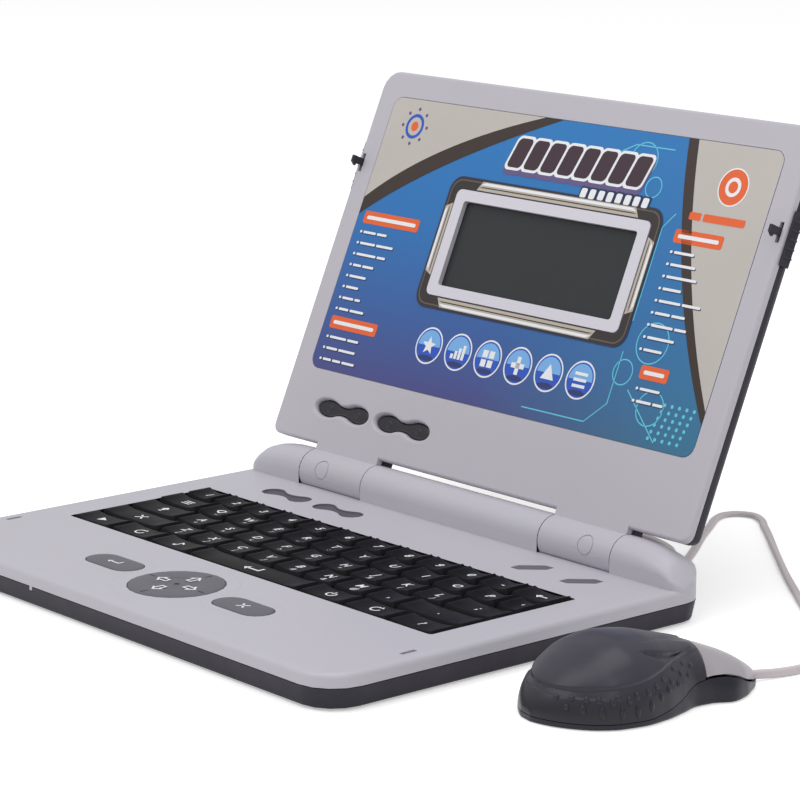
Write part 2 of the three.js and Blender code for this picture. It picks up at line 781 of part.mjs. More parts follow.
// Pale top: deck, hinge ridge, key well with its plate, pad well and every opening
function upperCase() {
  const outside = layered(caseBounds, [[upperBottom, 0], ...edgeLevels(deckHeight, deckEdgeRadius, 1)]);
  const tower = towerStations();
  const middleEnd = barrelInner - fitGap * half;
  const ends = slab(roundedShape(caseBounds), upperBottom, hingeHeight + ridgeRadius + cutOverrun);
  const towers = [ridgeStretch(tower), ridgeStretch(tower.map((x) => -x).reverse())]
    .map((stretch) => shared(stretch, ends));
  const middle = ridgeStretch([-middleEnd, middleEnd]);
  const tab = block(
    [snapTabPlace - snapTabSize * half, frontEdge, upperBottom - snapTabSize],
    [snapTabPlace + snapTabSize * half, frontEdge + snapTabDepth, upperBottom + caseWall],
  );

  const trough = (grow) => barrelMiddles.map((x) => rodAcross(
    ridgeRadius + fitGap + grow,
    x - barrelHalfLength - fitGap - grow,
    x + barrelHalfLength + fitGap + grow,
    hingeY,
    hingeHeight,
    barrelSteps,
  ));
  const wellFloor = slab(roundedShape(keyWell, keyWellWall), keyPlateBottom, deckHeight);
  const padOuter = padDiameter * half + buttonGap;
  const padFloor = post(padOuter + padWellWall, keyPlateBottom, deckHeight, 0, padRow, buttonSteps);
  const hollow = cut(
    layered(caseBounds, [[-cutOverrun, caseWall], [deckUnderside, caseWall]]),
    [...trough(troughWall), wellFloor, padFloor],
  );
  const hollowEnd = barrelOuter + ridgeEndWall;
  const towerHollow = ridgeStretch([hollowEnd, ridgeSlopeEnd - ridgeWall], ridgeWall);
  const towerHollowLeft = ridgeStretch([ridgeWall - ridgeSlopeEnd, -hollowEnd], ridgeWall);
  const middleHollowEnd = barrelInner - pinSeat - ridgeWall;
  const middleHollow = ridgeStretch([-middleHollowEnd, middleHollowEnd], ridgeWall);

  const wellOpening = slab(roundedShape(keyWell), keyPlateTop, deckHeight + cutOverrun);
  const stemHoleHalf = stemSize * half + fitGap;
  const stemHoles = stemSpans().map(([first, last, y]) => block(
    [first - stemHoleHalf, y - stemHoleHalf, keyPlateBottom - cutOverrun],
    [last + stemHoleHalf, y + stemHoleHalf, keyPlateTop + cutOverrun],
  ));
  const buttonHoles = [-1, 1].map((side) => slab(
    stadiumShape(stadiumLength, stadiumWidth, buttonGap),
    deckUnderside - cutOverrun,
    deckHeight + cutOverrun,
    cornerSteps,
  ).translate(side * stadiumOffset, stadiumRow, 0));
  const padHole = post(padOuter, keyPlateTop, deckHeight + cutOverrun, 0, padRow, buttonSteps);
  const pivotHole = post(
    pivotNeck + fitGap / half,
    keyPlateBottom - cutOverrun,
    keyPlateTop + cutOverrun,
    0,
    padRow,
  );
  const recessBottom = deckHeight - inlayDepth - fitGap;
  const inlays = inlayPlaces.map((x) => slab(
    figureEightShape(inlayLength, inlayLobe, inlayWaist, fitGap),
    recessBottom,
    deckHeight + cutOverrun,
    cornerSteps,
  ).translate(x, inlayRow, 0));
  const bars = barPlaces.map(([x, y]) => slab(
    pointedBarShape(fitGap),
    recessBottom,
    deckHeight + cutOverrun,
  ).translate(x, y, 0));
  const latchSlots = [-1, 1].map((side) => block(
    [side * hookOffset - hookThickness * half - fitGap, hingeY - slotEnd, deckUnderside - cutOverrun],
    [side * hookOffset + hookThickness * half + fitGap, hingeY - slotStart, deckHeight + cutOverrun],
  ));
  const pinBores = [-1, 1].map((side) => {
    const inner = barrelInner - pinSeat - fitGap;
    const outer = hollowEnd + fitGap;
    return rodAcross(
      pinDiameter * half + fitGap,
      side > 0 ? inner : -outer,
      side > 0 ? outer : -inner,
      hingeY,
      hingeHeight,
    );
  });
  return cut(joined([outside, ...towers, middle, tab]), [
    ...trough(0), hollow, towerHollow, towerHollowLeft, middleHollow, wellOpening, ...stemHoles,
    ...buttonHoles, padHole, pivotHole, ...inlays, ...bars, ...latchSlots, ...pinBores,
  ]);
}

// Tapered cap with its stem or stems
function keySolids(key) {
  const halfWidth = (key.width - keyGap) * half;
  const halfDepth = (keyRowPitch - keyGap) * half;
  const bottomBounds = rectangle(halfWidth, -halfDepth, halfDepth, keyCorner);
  const topBounds = rectangle(
    halfWidth - keySideTaper,
    keyFrontTaper - halfDepth,
    halfDepth - keyBackTaper,
    keyCorner,
  );
  const ring = (bounds, z) => roundedOutline(bounds, 0, keyCornerSteps)
    .map((point) => new THREE.Vector3(key.x + point.x, key.y + point.y, z));
  const cap = loft([ring(bottomBounds, keyBottom), ring(topBounds, keyTop)]);
  const stems = stemPlaces(key).map((x) => block(
    [x - stemSize * half, key.y - stemSize * half, stemEnd],
    [x + stemSize * half, key.y + stemSize * half, keyBottom + keyCorner],
  ));
  return [cap, ...stems];
}

function stemHook(x, y) {
  return block(
    [x - stemSize * half - stemHookReach, y - stemSize * half * half, stemEnd],
    [x + stemSize * half + stemHookReach, y + stemSize * half * half, stemEnd + stemHookHeight],
  );
}

// Hooks hold a key under the plate at its outer stems; the caps of a comb share one springy rail
function keyPiece(name) {
  const members = keys.filter((key) => key.name === name);
  const stemsX = members.flatMap(stemPlaces);
  const outerStems = [...new Set([stemsX[0], stemsX[stemsX.length - 1]])];
  const solids = [...members.flatMap(keySolids), ...outerStems.map((x) => stemHook(x, members[0].y))];
  if (members.length > 1) {
    const first = members[0];
    const last = members[members.length - 1];
    solids.push(block(
      [first.x, first.y - keyRailWidth * half, keyBottom],
      [last.x, first.y + keyRailWidth * half, keyBottom + keyRailHeight],
    ));
  }
  return joined(solids);
}

// Stadium button with a crowned top, a retaining flange and a plunger
function stadiumButton() {
  const side = stadiumWidth * half;
  const bounds = rectangle(stadiumLength * half, -side, side, side - fitGap);
  const top = deckHeight + buttonRise;
  const flangeTop = deckUnderside - fitGap;
  const flangeBottom = flangeTop - buttonFlange;
  const cap = layered(bounds, [
    [flangeBottom, 0],
    [top - buttonCrown, 0],
    [top - buttonCrown * half, buttonCrown],
    [top, buttonCrown / half / half],
  ]);
  const flangeShape = stadiumShape(stadiumLength, stadiumWidth, buttonGap + buttonFlange);
  const flange = slab(flangeShape, flangeBottom, flangeTop);
  const plunger = post(buttonStem * half, matTop + buttonTravel + fitGap, flangeTop);
  return joined([cap, flange, plunger]);
}

// Arrow pad: a shallow crowned disc with a socket that rides on the pivot's ball
function arrowPad() {
  const radius = padDiameter * half;
  const rim = deckHeight + padRise;
  const socketRadius = pivotBallRadius + fitGap;
  const socketOuter = socketRadius + padSocketWall;
  const profile = [
    [0, rim - padThickness],
    [radius, rim - padThickness],
    [radius, rim - padCrown],
    [radius - padCrown / half, rim],
    [radius * half, rim + padCrown * half],
    [0, rim + padCrown],
  ];
  const socket = post(socketOuter, pivotHeight - fitGap, rim - padCrown);
  const ball = new THREE.SphereGeometry(socketRadius, smallSteps, smallSteps * half)
    .translate(0, 0, pivotHeight);
  return cut(joined([turned(profile, buttonSteps), socket]), [ball]).translate(0, 0, -pivotHeight);
}

// Pivot: ball on a neck through the well's floor, kept by a flange under it
function padPivot() {
  const ball = new THREE.SphereGeometry(pivotBallRadius, smallSteps, smallSteps * half);
  const neck = post(pivotNeck, keyPlateBottom - fitGap - pivotFlangeHeight - pivotHeight, 0);
  const flange = post(
    pivotFlange,
    keyPlateBottom - fitGap - pivotFlangeHeight - pivotHeight,
    keyPlateBottom - fitGap - pivotHeight,
  );
  return joined([ball, neck, flange]);
}

// T-shaped outline of the board and of the mat on it
function boardShape(inset) {
  const side = boardHalfWidth - inset;
  const neck = boardNeckHalfWidth - inset;
  const back = boardBack - inset;
  const shoulder = keyWellFront - boardPost + inset;
  const front = boardFront + inset;
  const points = [
    [side, back],
    [-side, back],
    [-side, shoulder],
    [-neck, shoulder],
    [-neck, front],
    [neck, front],
    [neck, shoulder],
    [side, shoulder],
  ];
  return new THREE.Shape(points.map(([x, y]) => new THREE.Vector2(x, y)));
}

function keyMat() {
  const sheet = slab(boardShape(matMargin), boardTop + fitGap, matTop);
  const domes = stemSpans().map(([first, last, y]) => block(
    [first - domeWidth * half, y - domeWidth * half, matTop - matThickness * half],
    [last + domeWidth * half, y + domeWidth * half, matTop + domeHeight],
  ));
  return joined([sheet, ...domes]);
}

function speaker() {
  const bottom = floorThickness + fitGap;
  const profile = [
    [0, bottom],
    [speakerRadius, bottom],
    [speakerRadius, bottom + speakerRimHeight],
    [speakerMagnetRadius, bottom + speakerHeight * half],
    [speakerMagnetRadius, bottom + speakerHeight],
    [0, bottom + speakerHeight],
  ];
  return turned(profile, buttonSteps).translate(speakerX, speakerY, 0);
}

function cell() {
  const radius = cellDiameter * half;
  const tip = cellTipDiameter * half;
  const end = cellLength - cellTipLength;
  const profile = [[0, 0], [radius, 0], [radius, end], [tip, end], [tip, cellLength], [0, cellLength]];
  return turned(profile, smallSteps)
    .translate(0, 0, -cellLength * half)
    .rotateY(quarterTurn);
}

function batteryDoor() {
  const plate = block(
    [fitGap - bayHalfLength, fitGap - bayHalfWidth, 0],
    [bayHalfLength - fitGap, bayHalfWidth - fitGap, doorThickness],
  );
  const tab = block(
    [-bayHalfLength - bayWall - doorTabLength, -doorTabWidth * half, 0],
    [0, doorTabWidth * half, doorThickness],
  );
  const screw = screwX - cellBayX;
  const hole = post(doorScrewDiameter * half + fitGap, -cutOverrun, cutOverrun, screw, 0);
  const sink = post(doorScrewHead * half + fitGap, -cutOverrun, doorScrewHeadHeight + fitGap, screw, 0);
  return cut(joined([plate, tab]), [hole, sink]);
}

function doorScrew() {
  const head = post(doorScrewHead * half, 0, doorScrewHeadHeight);
  const shank = post(doorScrewDiameter * half, 0, doorScrewLength);
  return joined([head, shank]);
}

// Gland: a square grommet held in the tray's notch, with a round nose outside
function cordGland() {
  const wallInner = caseWall + fitGap + lipThickness;
  const glandTop = lowerTop - glandZ - fitGap;
  const back = caseDepth * half;
  const body = block(
    [-glandBody * half, back - wallInner - glandFlangeThickness, -glandBody * half],
    [glandBody * half, back + glandFlangeThickness, glandTop],
  );
  const insideFace = back - wallInner - fitGap;
  const inside = block(
    [-glandFlange * half, insideFace - glandFlangeThickness, floorThickness + fitGap - glandZ],
    [glandFlange * half, insideFace, glandTop],
  );
  const outside = block(
    [-glandFlange * half, back + fitGap, -glandBody * half],
    [glandFlange * half, back + fitGap + glandFlangeThickness, glandTop],
  );
  const nose = new THREE.CylinderGeometry(
    glandNoseDiameter * half,
    glandNoseDiameter * half,
    glandNose,
    smallSteps,
  ).translate(0, back + glandFlangeThickness + glandNose * half, 0);
  return joined([body, inside, outside, nose]);
}

// Lid front: panel with rim, sheet recess, raised bezel, tongues and hinge barrels
const lidBounds = {
  halfWidth: lidHalfWidth,
  front: lidStart,
  back: lidTop,
  frontRadius: lidBottomRadius,
  backRadius: lidTopRadius,
};
const sheetBounds = rectangle(sheetHalfWidth, lidStart + sheetBottom, lidStart + sheetTop, sheetRadius);
const bezelBounds = rectangle(bezelHalfWidth, lidStart + bezelBottom, lidStart + bezelTop, bezelRadius);
const displayBounds = rectangle(
  displayHalfWidth,
  lidStart + displayBottom,
  lidStart + displayTop,
  displayRadius,
);

function lidFrontPanel() {
  const plateBack = lidFront - lidPlate;
  const outside = layered(lidBounds, [[lidSeamFront, 0], ...edgeLevels(lidFront, lidFrontEdge, 1)]);
  const hollow = layered(lidBounds, [[lidSeamFront - cutOverrun, lidWall], [plateBack, lidWall]]);
  const recess = slab(
    roundedShape(sheetBounds, fitGap),
    lidFront - sheetThickness - fitGap,
    lidFront + cutOverrun,
  );
  const bezel = slab(roundedShape(bezelBounds), plateBack, lidFront + bezelRise);
  const opening = slab(roundedShape(displayBounds), plateBack - cutOverrun, lidFront + cutOverrun);
  const rockerHoles = rockerPlaces.map((x) => slab(
    figureEightShape(rockerLength, rockerLobe, rockerWaist, rockerGap),
    plateBack - cutOverrun,
    lidFront + cutOverrun,
    cornerSteps,
  ).translate(x, lidStart + rockerLevel, 0));
  const slotHalf = hookThickness * half + fitGap;
  const slots = [-hookOffset, hookOffset].map((x) => block(
    [x - slotHalf, hookTip - latchDown - fitGap, plateBack - cutOverrun],
    [x + slotHalf, slotEnd, lidFront + cutOverrun],
  ));
  const tongues = barrelMiddles.map((x) => block(
    [x - barrelHalfLength, 0, lidSeamFront],
    [x + barrelHalfLength, lidStart + lidWall, lidFront],
  ));
  const barrels = barrelMiddles.map((x) => rodAcross(
    ridgeRadius,
    x - barrelHalfLength,
    x + barrelHalfLength,
    0,
    0,
    barrelSteps,
  ));
  const bores = barrelMiddles.map((x) => rodAcross(
    pinDiameter * half + fitGap,
    x - barrelHalfLength - cutOverrun,
    x + barrelHalfLength + cutOverrun,
    0,
    0,
  ));
  const rings = [-barrelCapOffset, barrelCapOffset].map(barrelCapRing);
  const panel = cut(outside, [hollow, recess]);
  const solid = joined([panel, bezel, ...tongues, ...barrels]);
  return cut(solid, [opening, ...rockerHoles, ...slots, ...bores, ...rings]);
}

// Shallow ring groove round the round cap on a barrel's front
function barrelCapRing(x) {
  const capRadius = barrelCapDiameter * half;
  const top = ridgeRadius + cutOverrun;
  const core = rodAcross(ridgeRadius - barrelCapGroove, -ridgeRadius, ridgeRadius, 0, 0, barrelSteps);
  return cut(post(capRadius, 0, top, 0, 0, buttonSteps), [
    post(capRadius - barrelCapGroove, -cutOverrun, top + cutOverrun, 0, 0, buttonSteps),
    core,
  ]).translate(x, 0, 0);
}

function lidBackCover() {
  const backLevels = edgeLevels(lidBack, lidBackEdge, -1).reverse();
  const outside = layered(lidBounds, [...backLevels, [lidSeamBack, 0]]);
  const hollow = layered(lidBounds, [
    [lidBack + lidWall, lidWall + lidBackEdge * half],
    [lidBack + lidBackEdge, lidWall],
    [lidSeamBack + cutOverrun, lidWall],
  ]);
  const tongues = barrelMiddles.map((x) => block(
    [x - barrelHalfLength, 0, lidBack],
    [x + barrelHalfLength, lidStart + lidBackEdge, lidSeamBack],
  ));
  const barrelRoom = rodAcross(ridgeRadius + fitGap, -lidHalfWidth, lidHalfWidth, 0, 0, barrelSteps);
  const slotReach = lidWall + cutOverrun;
  const slotBottom = latchKnobCentre - latchNeckLength * half - latchDown - fitGap;
  const slotTop = latchKnobCentre + latchNeckLength * half + latchUp + fitGap;
  const slotBack = lidBack + lidBackEdge;
  const knobSlots = [-lidHalfWidth, lidHalfWidth].map((x) => block(
    [x - slotReach, slotBottom, slotBack],
    [x + slotReach, slotTop, slotBack + latchNeck * half + fitGap],
  ));
  const shell = cut(outside, [hollow]);
  return cut(joined([shell, ...tongues]), [barrelRoom, ...knobSlots]);
}

function overlaySheet() {
  const sheet = slab(roundedShape(sheetBounds), lidFront - sheetThickness, lidFront);
  const window = slab(roundedShape(bezelBounds, fitGap), -cutOverrun, lidFront + cutOverrun);
  return cut(sheet, [window]);
}

function displayPanel(front, thickness, margin) {
  return slab(roundedShape(displayBounds, margin), front - thickness, front);
}

// Rocker: a figure eight with two ears at its waist that ride behind the panel
function rocker() {
  const plateBack = lidFront - lidPlate;
  const body = slab(
    figureEightShape(rockerLength, rockerLobe, rockerWaist),
    lidFront - rockerDepth,
    lidFront + rockerRise,
    cornerSteps,
  );
  const earReach = rockerWaist * half + rockerGap + rockerEarLength;
  const ears = block(
    [-rockerEarWidth * half, -earReach, lidFront - rockerDepth],
    [rockerEarWidth * half, earReach, plateBack - fitGap],
  );
  return joined([body, ears]).translate(0, 0, -plateBack);
}

// Latch: hook through the front, body inside, ribbed knob on the edge
function latchSlider(side) {
  const innerSide = lidHalfWidth - lidWall - fitGap;
  const bodyStart = latchKnobCentre - latchBodyLength * half;
  const bodyEnd = latchKnobCentre + latchBodyLength * half;
  const plateBack = lidFront - lidPlate;
  const neckBack = lidBack + lidBackEdge + fitGap;
  const neckFront = lidBack + lidBackEdge + latchNeck * half;
  const hookEnd = lidFront + hookReach;
  const body = block(
    [innerSide - latchBodyWidth, bodyStart, neckBack],
    [innerSide, bodyEnd, plateBack - fitGap],
  );
  const knobInner = lidHalfWidth + fitGap;
  const knobOuter = knobInner + latchKnobRise;
  const knobBack = neckFront - latchKnobWidth * half;
  const knobFront = neckFront + latchKnobWidth * half;
  const neck = block(
    [innerSide - latchBodyWidth, latchKnobCentre - latchNeckLength * half, neckBack],
    [knobInner + latchKnobRise * half, latchKnobCentre + latchNeckLength * half, neckFront],
  );
  const knob = block(
    [knobInner, latchKnobCentre - latchKnobLength * half, knobBack],
    [knobOuter, latchKnobCentre + latchKnobLength * half, knobFront],
  );
  const ribs = Array.from({ length: latchRibs }, (_, rib) => {
    const middle = latchKnobCentre + (rib - (latchRibs - 1) * half) * latchKnobLength / (latchRibs + 1);
    return block(
      [knobInner, middle - latchRibHeight, knobBack],
      [knobOuter + latchRibHeight, middle + latchRibHeight, knobFront],
    );
  });
  const shankStart = hookTip + hookBarb;
  const shank = block(
    [hookOffset - hookThickness * half, shankStart, plateBack - lidPlate],
    [hookOffset + hookThickness * half, shankStart + hookShank, hookEnd],
  );
  const barbShape = new THREE.Shape([
    new THREE.Vector2(hookEnd, shankStart + fitGap),
    new THREE.Vector2(hookEnd - hookBarbHeight, hookTip),
    new THREE.Vector2(hookEnd - hookBarbHeight - hookBarb * half, shankStart + fitGap),
  ]);
  const barb = new THREE.ExtrudeGeometry(barbShape, { depth: hookThickness, bevelEnabled: false })
    .rotateY(-quarterTurn)
    .translate(hookOffset + hookThickness * half, 0, 0);
  const solid = joined([body, neck, knob, ...ribs, shank, barb]);
  return side > 0 ? solid : mirrored(solid);
}

// Mirror image across x, with its faces turned back outwards
function mirrored(geometry) {
  const copy = geometry.clone().scale(-1, 1, 1);
  const faces = copy.index.array;
  for (let corner = 0; corner < faces.length; corner += 3) {
    [faces[corner + 1], faces[corner + 2]] = [faces[corner + 2], faces[corner + 1]];
  }
  return copy;
}

// Mouse body: superellipse sections over a flat bottom, from tail to nose
function mouseBody(shrink) {
  const arcSteps = 10;
  const first = mouseStationShares[0];
  const last = mouseStationShares[mouseStationShares.length - 1];
  return loft(mouseStationShares.map((station) => {
    const [lengthShare, widthShare, heightShare] = station;
    const endShift = station === first ? shrink : station === last ? -shrink : 0;
    const y = (lengthShare - 1) * mouseLength + endShift;
    const width = Math.max(widthShare * mouseHalfWidth - shrink, mouseBottomEdge);
    const bottom = glideHeight + shrink;
    const shoulder = bottom + mouseBottomEdge;
    const crest = Math.max(heightShare * mouseHeight - shrink - shoulder, mouseBottomEdge * half);
    const arc = Array.from({ length: arcSteps + 1 }, (_, step) => {
      const angle = step / arcSteps * Math.PI;
      const across = Math.sign(Math.cos(angle)) * Math.abs(Math.cos(angle)) ** mouseRoundness;
      return new THREE.Vector3(-width * across, y, shoulder + crest * Math.sin(angle) ** mouseRoundness);
    });
    const under = width - mouseBottomEdge * half;
    return [new THREE.Vector3(under, y, bottom), new THREE.Vector3(-under, y, bottom), ...arc];
  }));
}

// Everything on one side of the seam, as a prism across the mouse
function mouseSeamPrism(above, lift) {
  const seam = mouseSeamShares.map(([lengthShare, heightShare]) => new THREE.Vector2(
    (lengthShare - 1) * mouseLength,
    heightShare * mouseHeight + lift,
  ));
  const limit = above ? mouseHeight + cutOverrun : -cutOverrun;
  const ends = [seam[seam.length - 1], seam[0]].map((point) => new THREE.Vector2(point.x, limit));
  return new THREE.ExtrudeGeometry(new THREE.Shape([...seam, ...ends]), {
    depth: mouseHalfWidth / half + cutOverrun,
    bevelEnabled: false,
  })
    .rotateX(quarterTurn)
    .rotateZ(quarterTurn)
    .translate(-mouseHalfWidth - cutOverrun * half, 0, 0);
}

// Plan area in front of the swept line where the buttons start
function mouseNosePrism(setBack) {
  const sweepSteps = 8;
  const line = Array.from({ length: sweepSteps + 1 }, (_, step) => {
    const share = step / sweepSteps / half - 1;
    return new THREE.Vector2(share * mouseHalfWidth, -mouseCapLine - mouseCapSweep * share ** 2 + setBack);
  });
  const ends = [1, -1].map((side) => new THREE.Vector2(side * mouseHalfWidth, cutOverrun));
  return slab(new THREE.Shape([...line, ...ends]), -cutOverrun, mouseHeight + cutOverrun);
}

function mousePieces() {
  const body = mouseBody(0);
  const hollow = mouseBody(mouseWall);
  const skin = cut(body, [hollow]);
  const base = shared(skin, mouseSeamPrism(false, -mouseGap * half));
  const nose = mouseNosePrism(0);
  const upper = shared(skin, mouseSeamPrism(true, mouseGap * half));
  const shell = cut(upper, [nose]);
  const capSkin = shared(shared(skin, mouseSeamPrism(true, mouseButtonGap)), mouseNosePrism(mouseGap));
  const rightHalf = block([mouseGap * half, -mouseLength, 0], [mouseHalfWidth, cutOverrun, mouseHeight]);
  const right = shared(capSkin, rightHalf);
  return { base, shell, right, left: mirrored(right) };
}

function mouseBase(base) {
  const ballY = -ballCentre;
  const glides = [-glideInset, glideInset - mouseLength].map((y) => block(
    [-glideWidth * half, y - glideDepth * half, 0],
    [glideWidth * half, y + glideDepth * half, glideHeight + mouseWall * half],
  ));
  const seat = post(ballRingRadius + fitGap, -cutOverrun, cutOverrun, 0, ballY, buttonSteps);
  return cut(joined([base, ...glides]), [seat]);
}

function ballRing() {
  const bottom = glideHeight;
  const top = bottom + ballRingThickness;
  return cut(post(ballRingRadius, bottom, top, 0, 0, buttonSteps), [
    post(ballRingHole, -cutOverrun, cutOverrun, 0, 0, buttonSteps),
  ]);
}

function cordTube() {
  const points = cordPoints.map(([x, y, lift]) => new THREE.Vector3(x, y, tableHeight + cordLift + lift));
  const section = new THREE.Shape();
  section.absarc(0, 0, cordDiameter * half, 0, Math.PI * 2);
  return new THREE.ExtrudeGeometry(section, {
    steps: cordSteps,
    curveSegments: cordSides * half,
    extrudePath: new THREE.CatmullRomCurve3(points),
    bevelEnabled: false,
  });
}

// The case and what stands in it
addPiece(group, 'base_lower_case', lowerCase(), 'darkShell');
addPiece(group, 'base_upper_case', upperCase(), 'paleShell');
footPlaces.forEach(([x, y], index) => {
  const foot = post(footDiameter * half, 0, footRise + footRecess);
  addPiece(group, `rubber_foot_${index + 1}`, foot, 'rubber', [x, y, -footRise]);
});
inlayPlaces.forEach((x, index) => {
  const inlay = slab(figureEightShape(inlayLength, inlayLobe, inlayWaist), 0, inlayDepth, cornerSteps);
  addPiece(group, `deck_inlay_${index + 1}`, inlay, 'greyButton', [x, inlayRow, deckHeight - inlayDepth]);
});
barPlaces.forEach(([x, y], index) => {
  const bar = slab(pointedBarShape(), 0, inlayDepth);
  addPiece(group, `deck_bar_${index + 1}`, bar, 'greyButton', [x, y, deckHeight - inlayDepth]);
});
keyNames.forEach((name) => {
  addPiece(group, name, keyPiece(name), 'blackKey');
});
addPiece(group, 'button_enter', stadiumButton(), 'greyButton', [-stadiumOffset, stadiumRow, 0]);
addPiece(group, 'button_escape', stadiumButton(), 'greyButton', [stadiumOffset, stadiumRow, 0]);
addPiece(group, 'arrow_pad', arrowPad(), 'greyButton', [0, padRow, pivotHeight]);
addPiece(group, 'arrow_pad_pivot', padPivot(), 'darkShell', [0, padRow, pivotHeight]);
addPiece(group, 'main_circuit_board', slab(boardShape(0), boardLevel, boardTop), 'board');
addPiece(group, 'key_contact_mat', keyMat(), 'rubber');
addPiece(group, 'speaker', speaker(), 'steel');
for (let index = 0; index < cellCount; index += 1) {
  const y = cellBayY + (index - (cellCount - 1) * half) * cellPitch;
  const height = doorThickness + fitGap + cellDiameter * half;
  const piece = addPiece(group, `battery_cell_${index + 1}`, cell(), 'cell', [cellBayX, y, height]);
  piece.rotation.z = index % 2 ? Math.PI : 0;
}
addPiece(group, 'battery_door', batteryDoor(), 'darkShell', [cellBayX, cellBayY, 0]);
addPiece(group, 'battery_door_screw', doorScrew(), 'steel', [screwX, cellBayY, 0]);
addPiece(group, 'cord_gland', cordGland(), 'rubber', [glandX, 0, glandZ]);
[-1, 1].forEach((side) => {
  const length = barrelOuter + ridgeEndWall - barrelInner + pinSeat;
  const pin = rodAcross(pinDiameter * half, 0, length, 0, 0);
  const start = side > 0 ? barrelInner - pinSeat : pinSeat - barrelInner - length;
  const name = side > 0 ? 'hinge_pin_right' : 'hinge_pin_left';
  addPiece(group, name, pin, 'steel', [start, hingeY, hingeHeight]);
});

// The lid swings about the ridge's axis
const lid = new THREE.Group();
lid.position.set(0, hingeY, hingeHeight);
lid.rotation.x = quarterTurn - THREE.MathUtils.degToRad(lidLean);
group.add(lid);
const displayFront = lidFront - lidPlate - fitGap;
addPiece(lid, 'lid_front_panel', lidFrontPanel(), 'paleShell');
addPiece(lid, 'lid_back_cover', lidBackCover(), 'darkShell');
addPiece(lid, 'overlay_sheet', overlaySheet(), 'overlay');
addPiece(lid, 'display_panel', displayPanel(displayFront, displayThickness, displayMargin), 'display');
addPiece(
  lid,
  'display_board',
  displayPanel(displayFront - displayThickness - fitGap, boardThickness, displayMargin / half),
  'board',
);
rockerPlaces.forEach((x, index) => {
  const place = [x, lidStart + rockerLevel, lidFront - lidPlate];
  addPiece(lid, `lid_rocker_${index + 1}`, rocker(), 'rubber', place);
});
addPiece(lid, 'latch_slider_left', latchSlider(-1), 'darkShell');
addPiece(lid, 'latch_slider_right', latchSlider(1), 'darkShell');

// The mouse stands beside the case
const mouse = new THREE.Group();
mouse.position.set(mouseNoseX, mouseNoseY, tableHeight);
mouse.rotation.z = -THREE.MathUtils.degToRad(mouseTurn);
group.add(mouse);
const mouseParts = mousePieces();
addPiece(mouse, 'mouse_base', mouseBase(mouseParts.base), 'darkShell');
addPiece(mouse, 'mouse_shell', mouseParts.shell, 'mouseShell');
addPiece(mouse, 'mouse_button_left', mouseParts.left, 'silver');
addPiece(mouse, 'mouse_button_right', mouseParts.right, 'silver');
addPiece(mouse, 'mouse_ball_ring', ballRing(), 'darkShell', [0, -ballCentre, 0]);
const ball = new THREE.SphereGeometry(ballRadius, smallSteps, smallSteps * half);
addPiece(mouse, 'mouse_ball', ball, 'rubber', [0, -ballCentre, ballRadius]);
addPiece(group, 'mouse_cord', cordTube(), 'cord');

export default group;
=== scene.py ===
import math

import bmesh
import bpy
from mathutils import Matrix, Vector
from mathutils.geometry import tessellate_polygon


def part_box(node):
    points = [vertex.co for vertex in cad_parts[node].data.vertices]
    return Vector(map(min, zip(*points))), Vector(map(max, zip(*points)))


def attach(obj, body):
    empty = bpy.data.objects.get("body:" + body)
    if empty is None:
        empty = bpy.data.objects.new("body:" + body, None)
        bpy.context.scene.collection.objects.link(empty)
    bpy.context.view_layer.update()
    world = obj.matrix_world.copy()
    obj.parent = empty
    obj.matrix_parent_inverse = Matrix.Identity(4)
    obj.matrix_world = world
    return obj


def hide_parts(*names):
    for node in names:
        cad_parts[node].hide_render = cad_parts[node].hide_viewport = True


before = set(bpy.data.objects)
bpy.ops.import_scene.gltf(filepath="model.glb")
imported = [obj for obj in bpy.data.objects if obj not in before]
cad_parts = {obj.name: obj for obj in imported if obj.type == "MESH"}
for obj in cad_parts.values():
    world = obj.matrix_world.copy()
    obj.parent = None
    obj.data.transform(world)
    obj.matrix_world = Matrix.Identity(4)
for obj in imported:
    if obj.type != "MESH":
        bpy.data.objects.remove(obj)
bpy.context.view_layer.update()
print("frame loaded")

mm = 0.001
world = bpy.context.scene.collection


def linked(name, data):
    item = bpy.data.objects.new(name, data)
    world.objects.link(item)
    return item


# Camera, as solved from the photograph's straight edges
camera = {
    "azimuth": 49.39, "elevation": 12.316, "roll": 0.105, "lens": 143.28, "sensor": 36, "near": 0.05,
    "far": 50, "place": (1.0409, -0.8358, 0.3758),
}


def addCamera():
    turn, rise, roll = (math.radians(camera[key]) for key in ("azimuth", "elevation", "roll"))
    right = Vector((math.cos(turn), math.sin(turn), 0))
    back = Vector((math.sin(turn) * math.cos(rise), -math.cos(turn) * math.cos(rise), math.sin(rise)))
    up = back.cross(right)
    across = math.cos(roll) * right + math.sin(roll) * up
    upward = -math.sin(roll) * right + math.cos(roll) * up
    data = bpy.data.cameras.new("camera")
    data.lens, data.sensor_width = camera["lens"], camera["sensor"]
    data.clip_start, data.clip_end = camera["near"], camera["far"]
    eye = linked("camera", data)
    axes = Matrix((across, upward, back)).transposed().to_4x4()
    eye.matrix_world = Matrix.Translation(camera["place"]) @ axes
    bpy.context.scene.camera = eye


addCamera()
bpy.context.scene.view_settings.view_transform = "Standard"


# Places shared by many pieces
lidLean = math.radians(23.5)
hingePlace = Vector((0, 93.75, 20)) * mm
tableHeight = -1.0  # mm, under the feet
casePlace = Matrix.Scale(mm, 4)
lidPlace = Matrix.Translation(hingePlace) @ Matrix((
    (1, 0, 0, 0),
    (0, math.sin(lidLean), -math.cos(lidLean), 0),
    (0, math.cos(lidLean), math.sin(lidLean), 0),
    (0, 0, 0, 1),
)) @ Matrix.Scale(mm, 4)


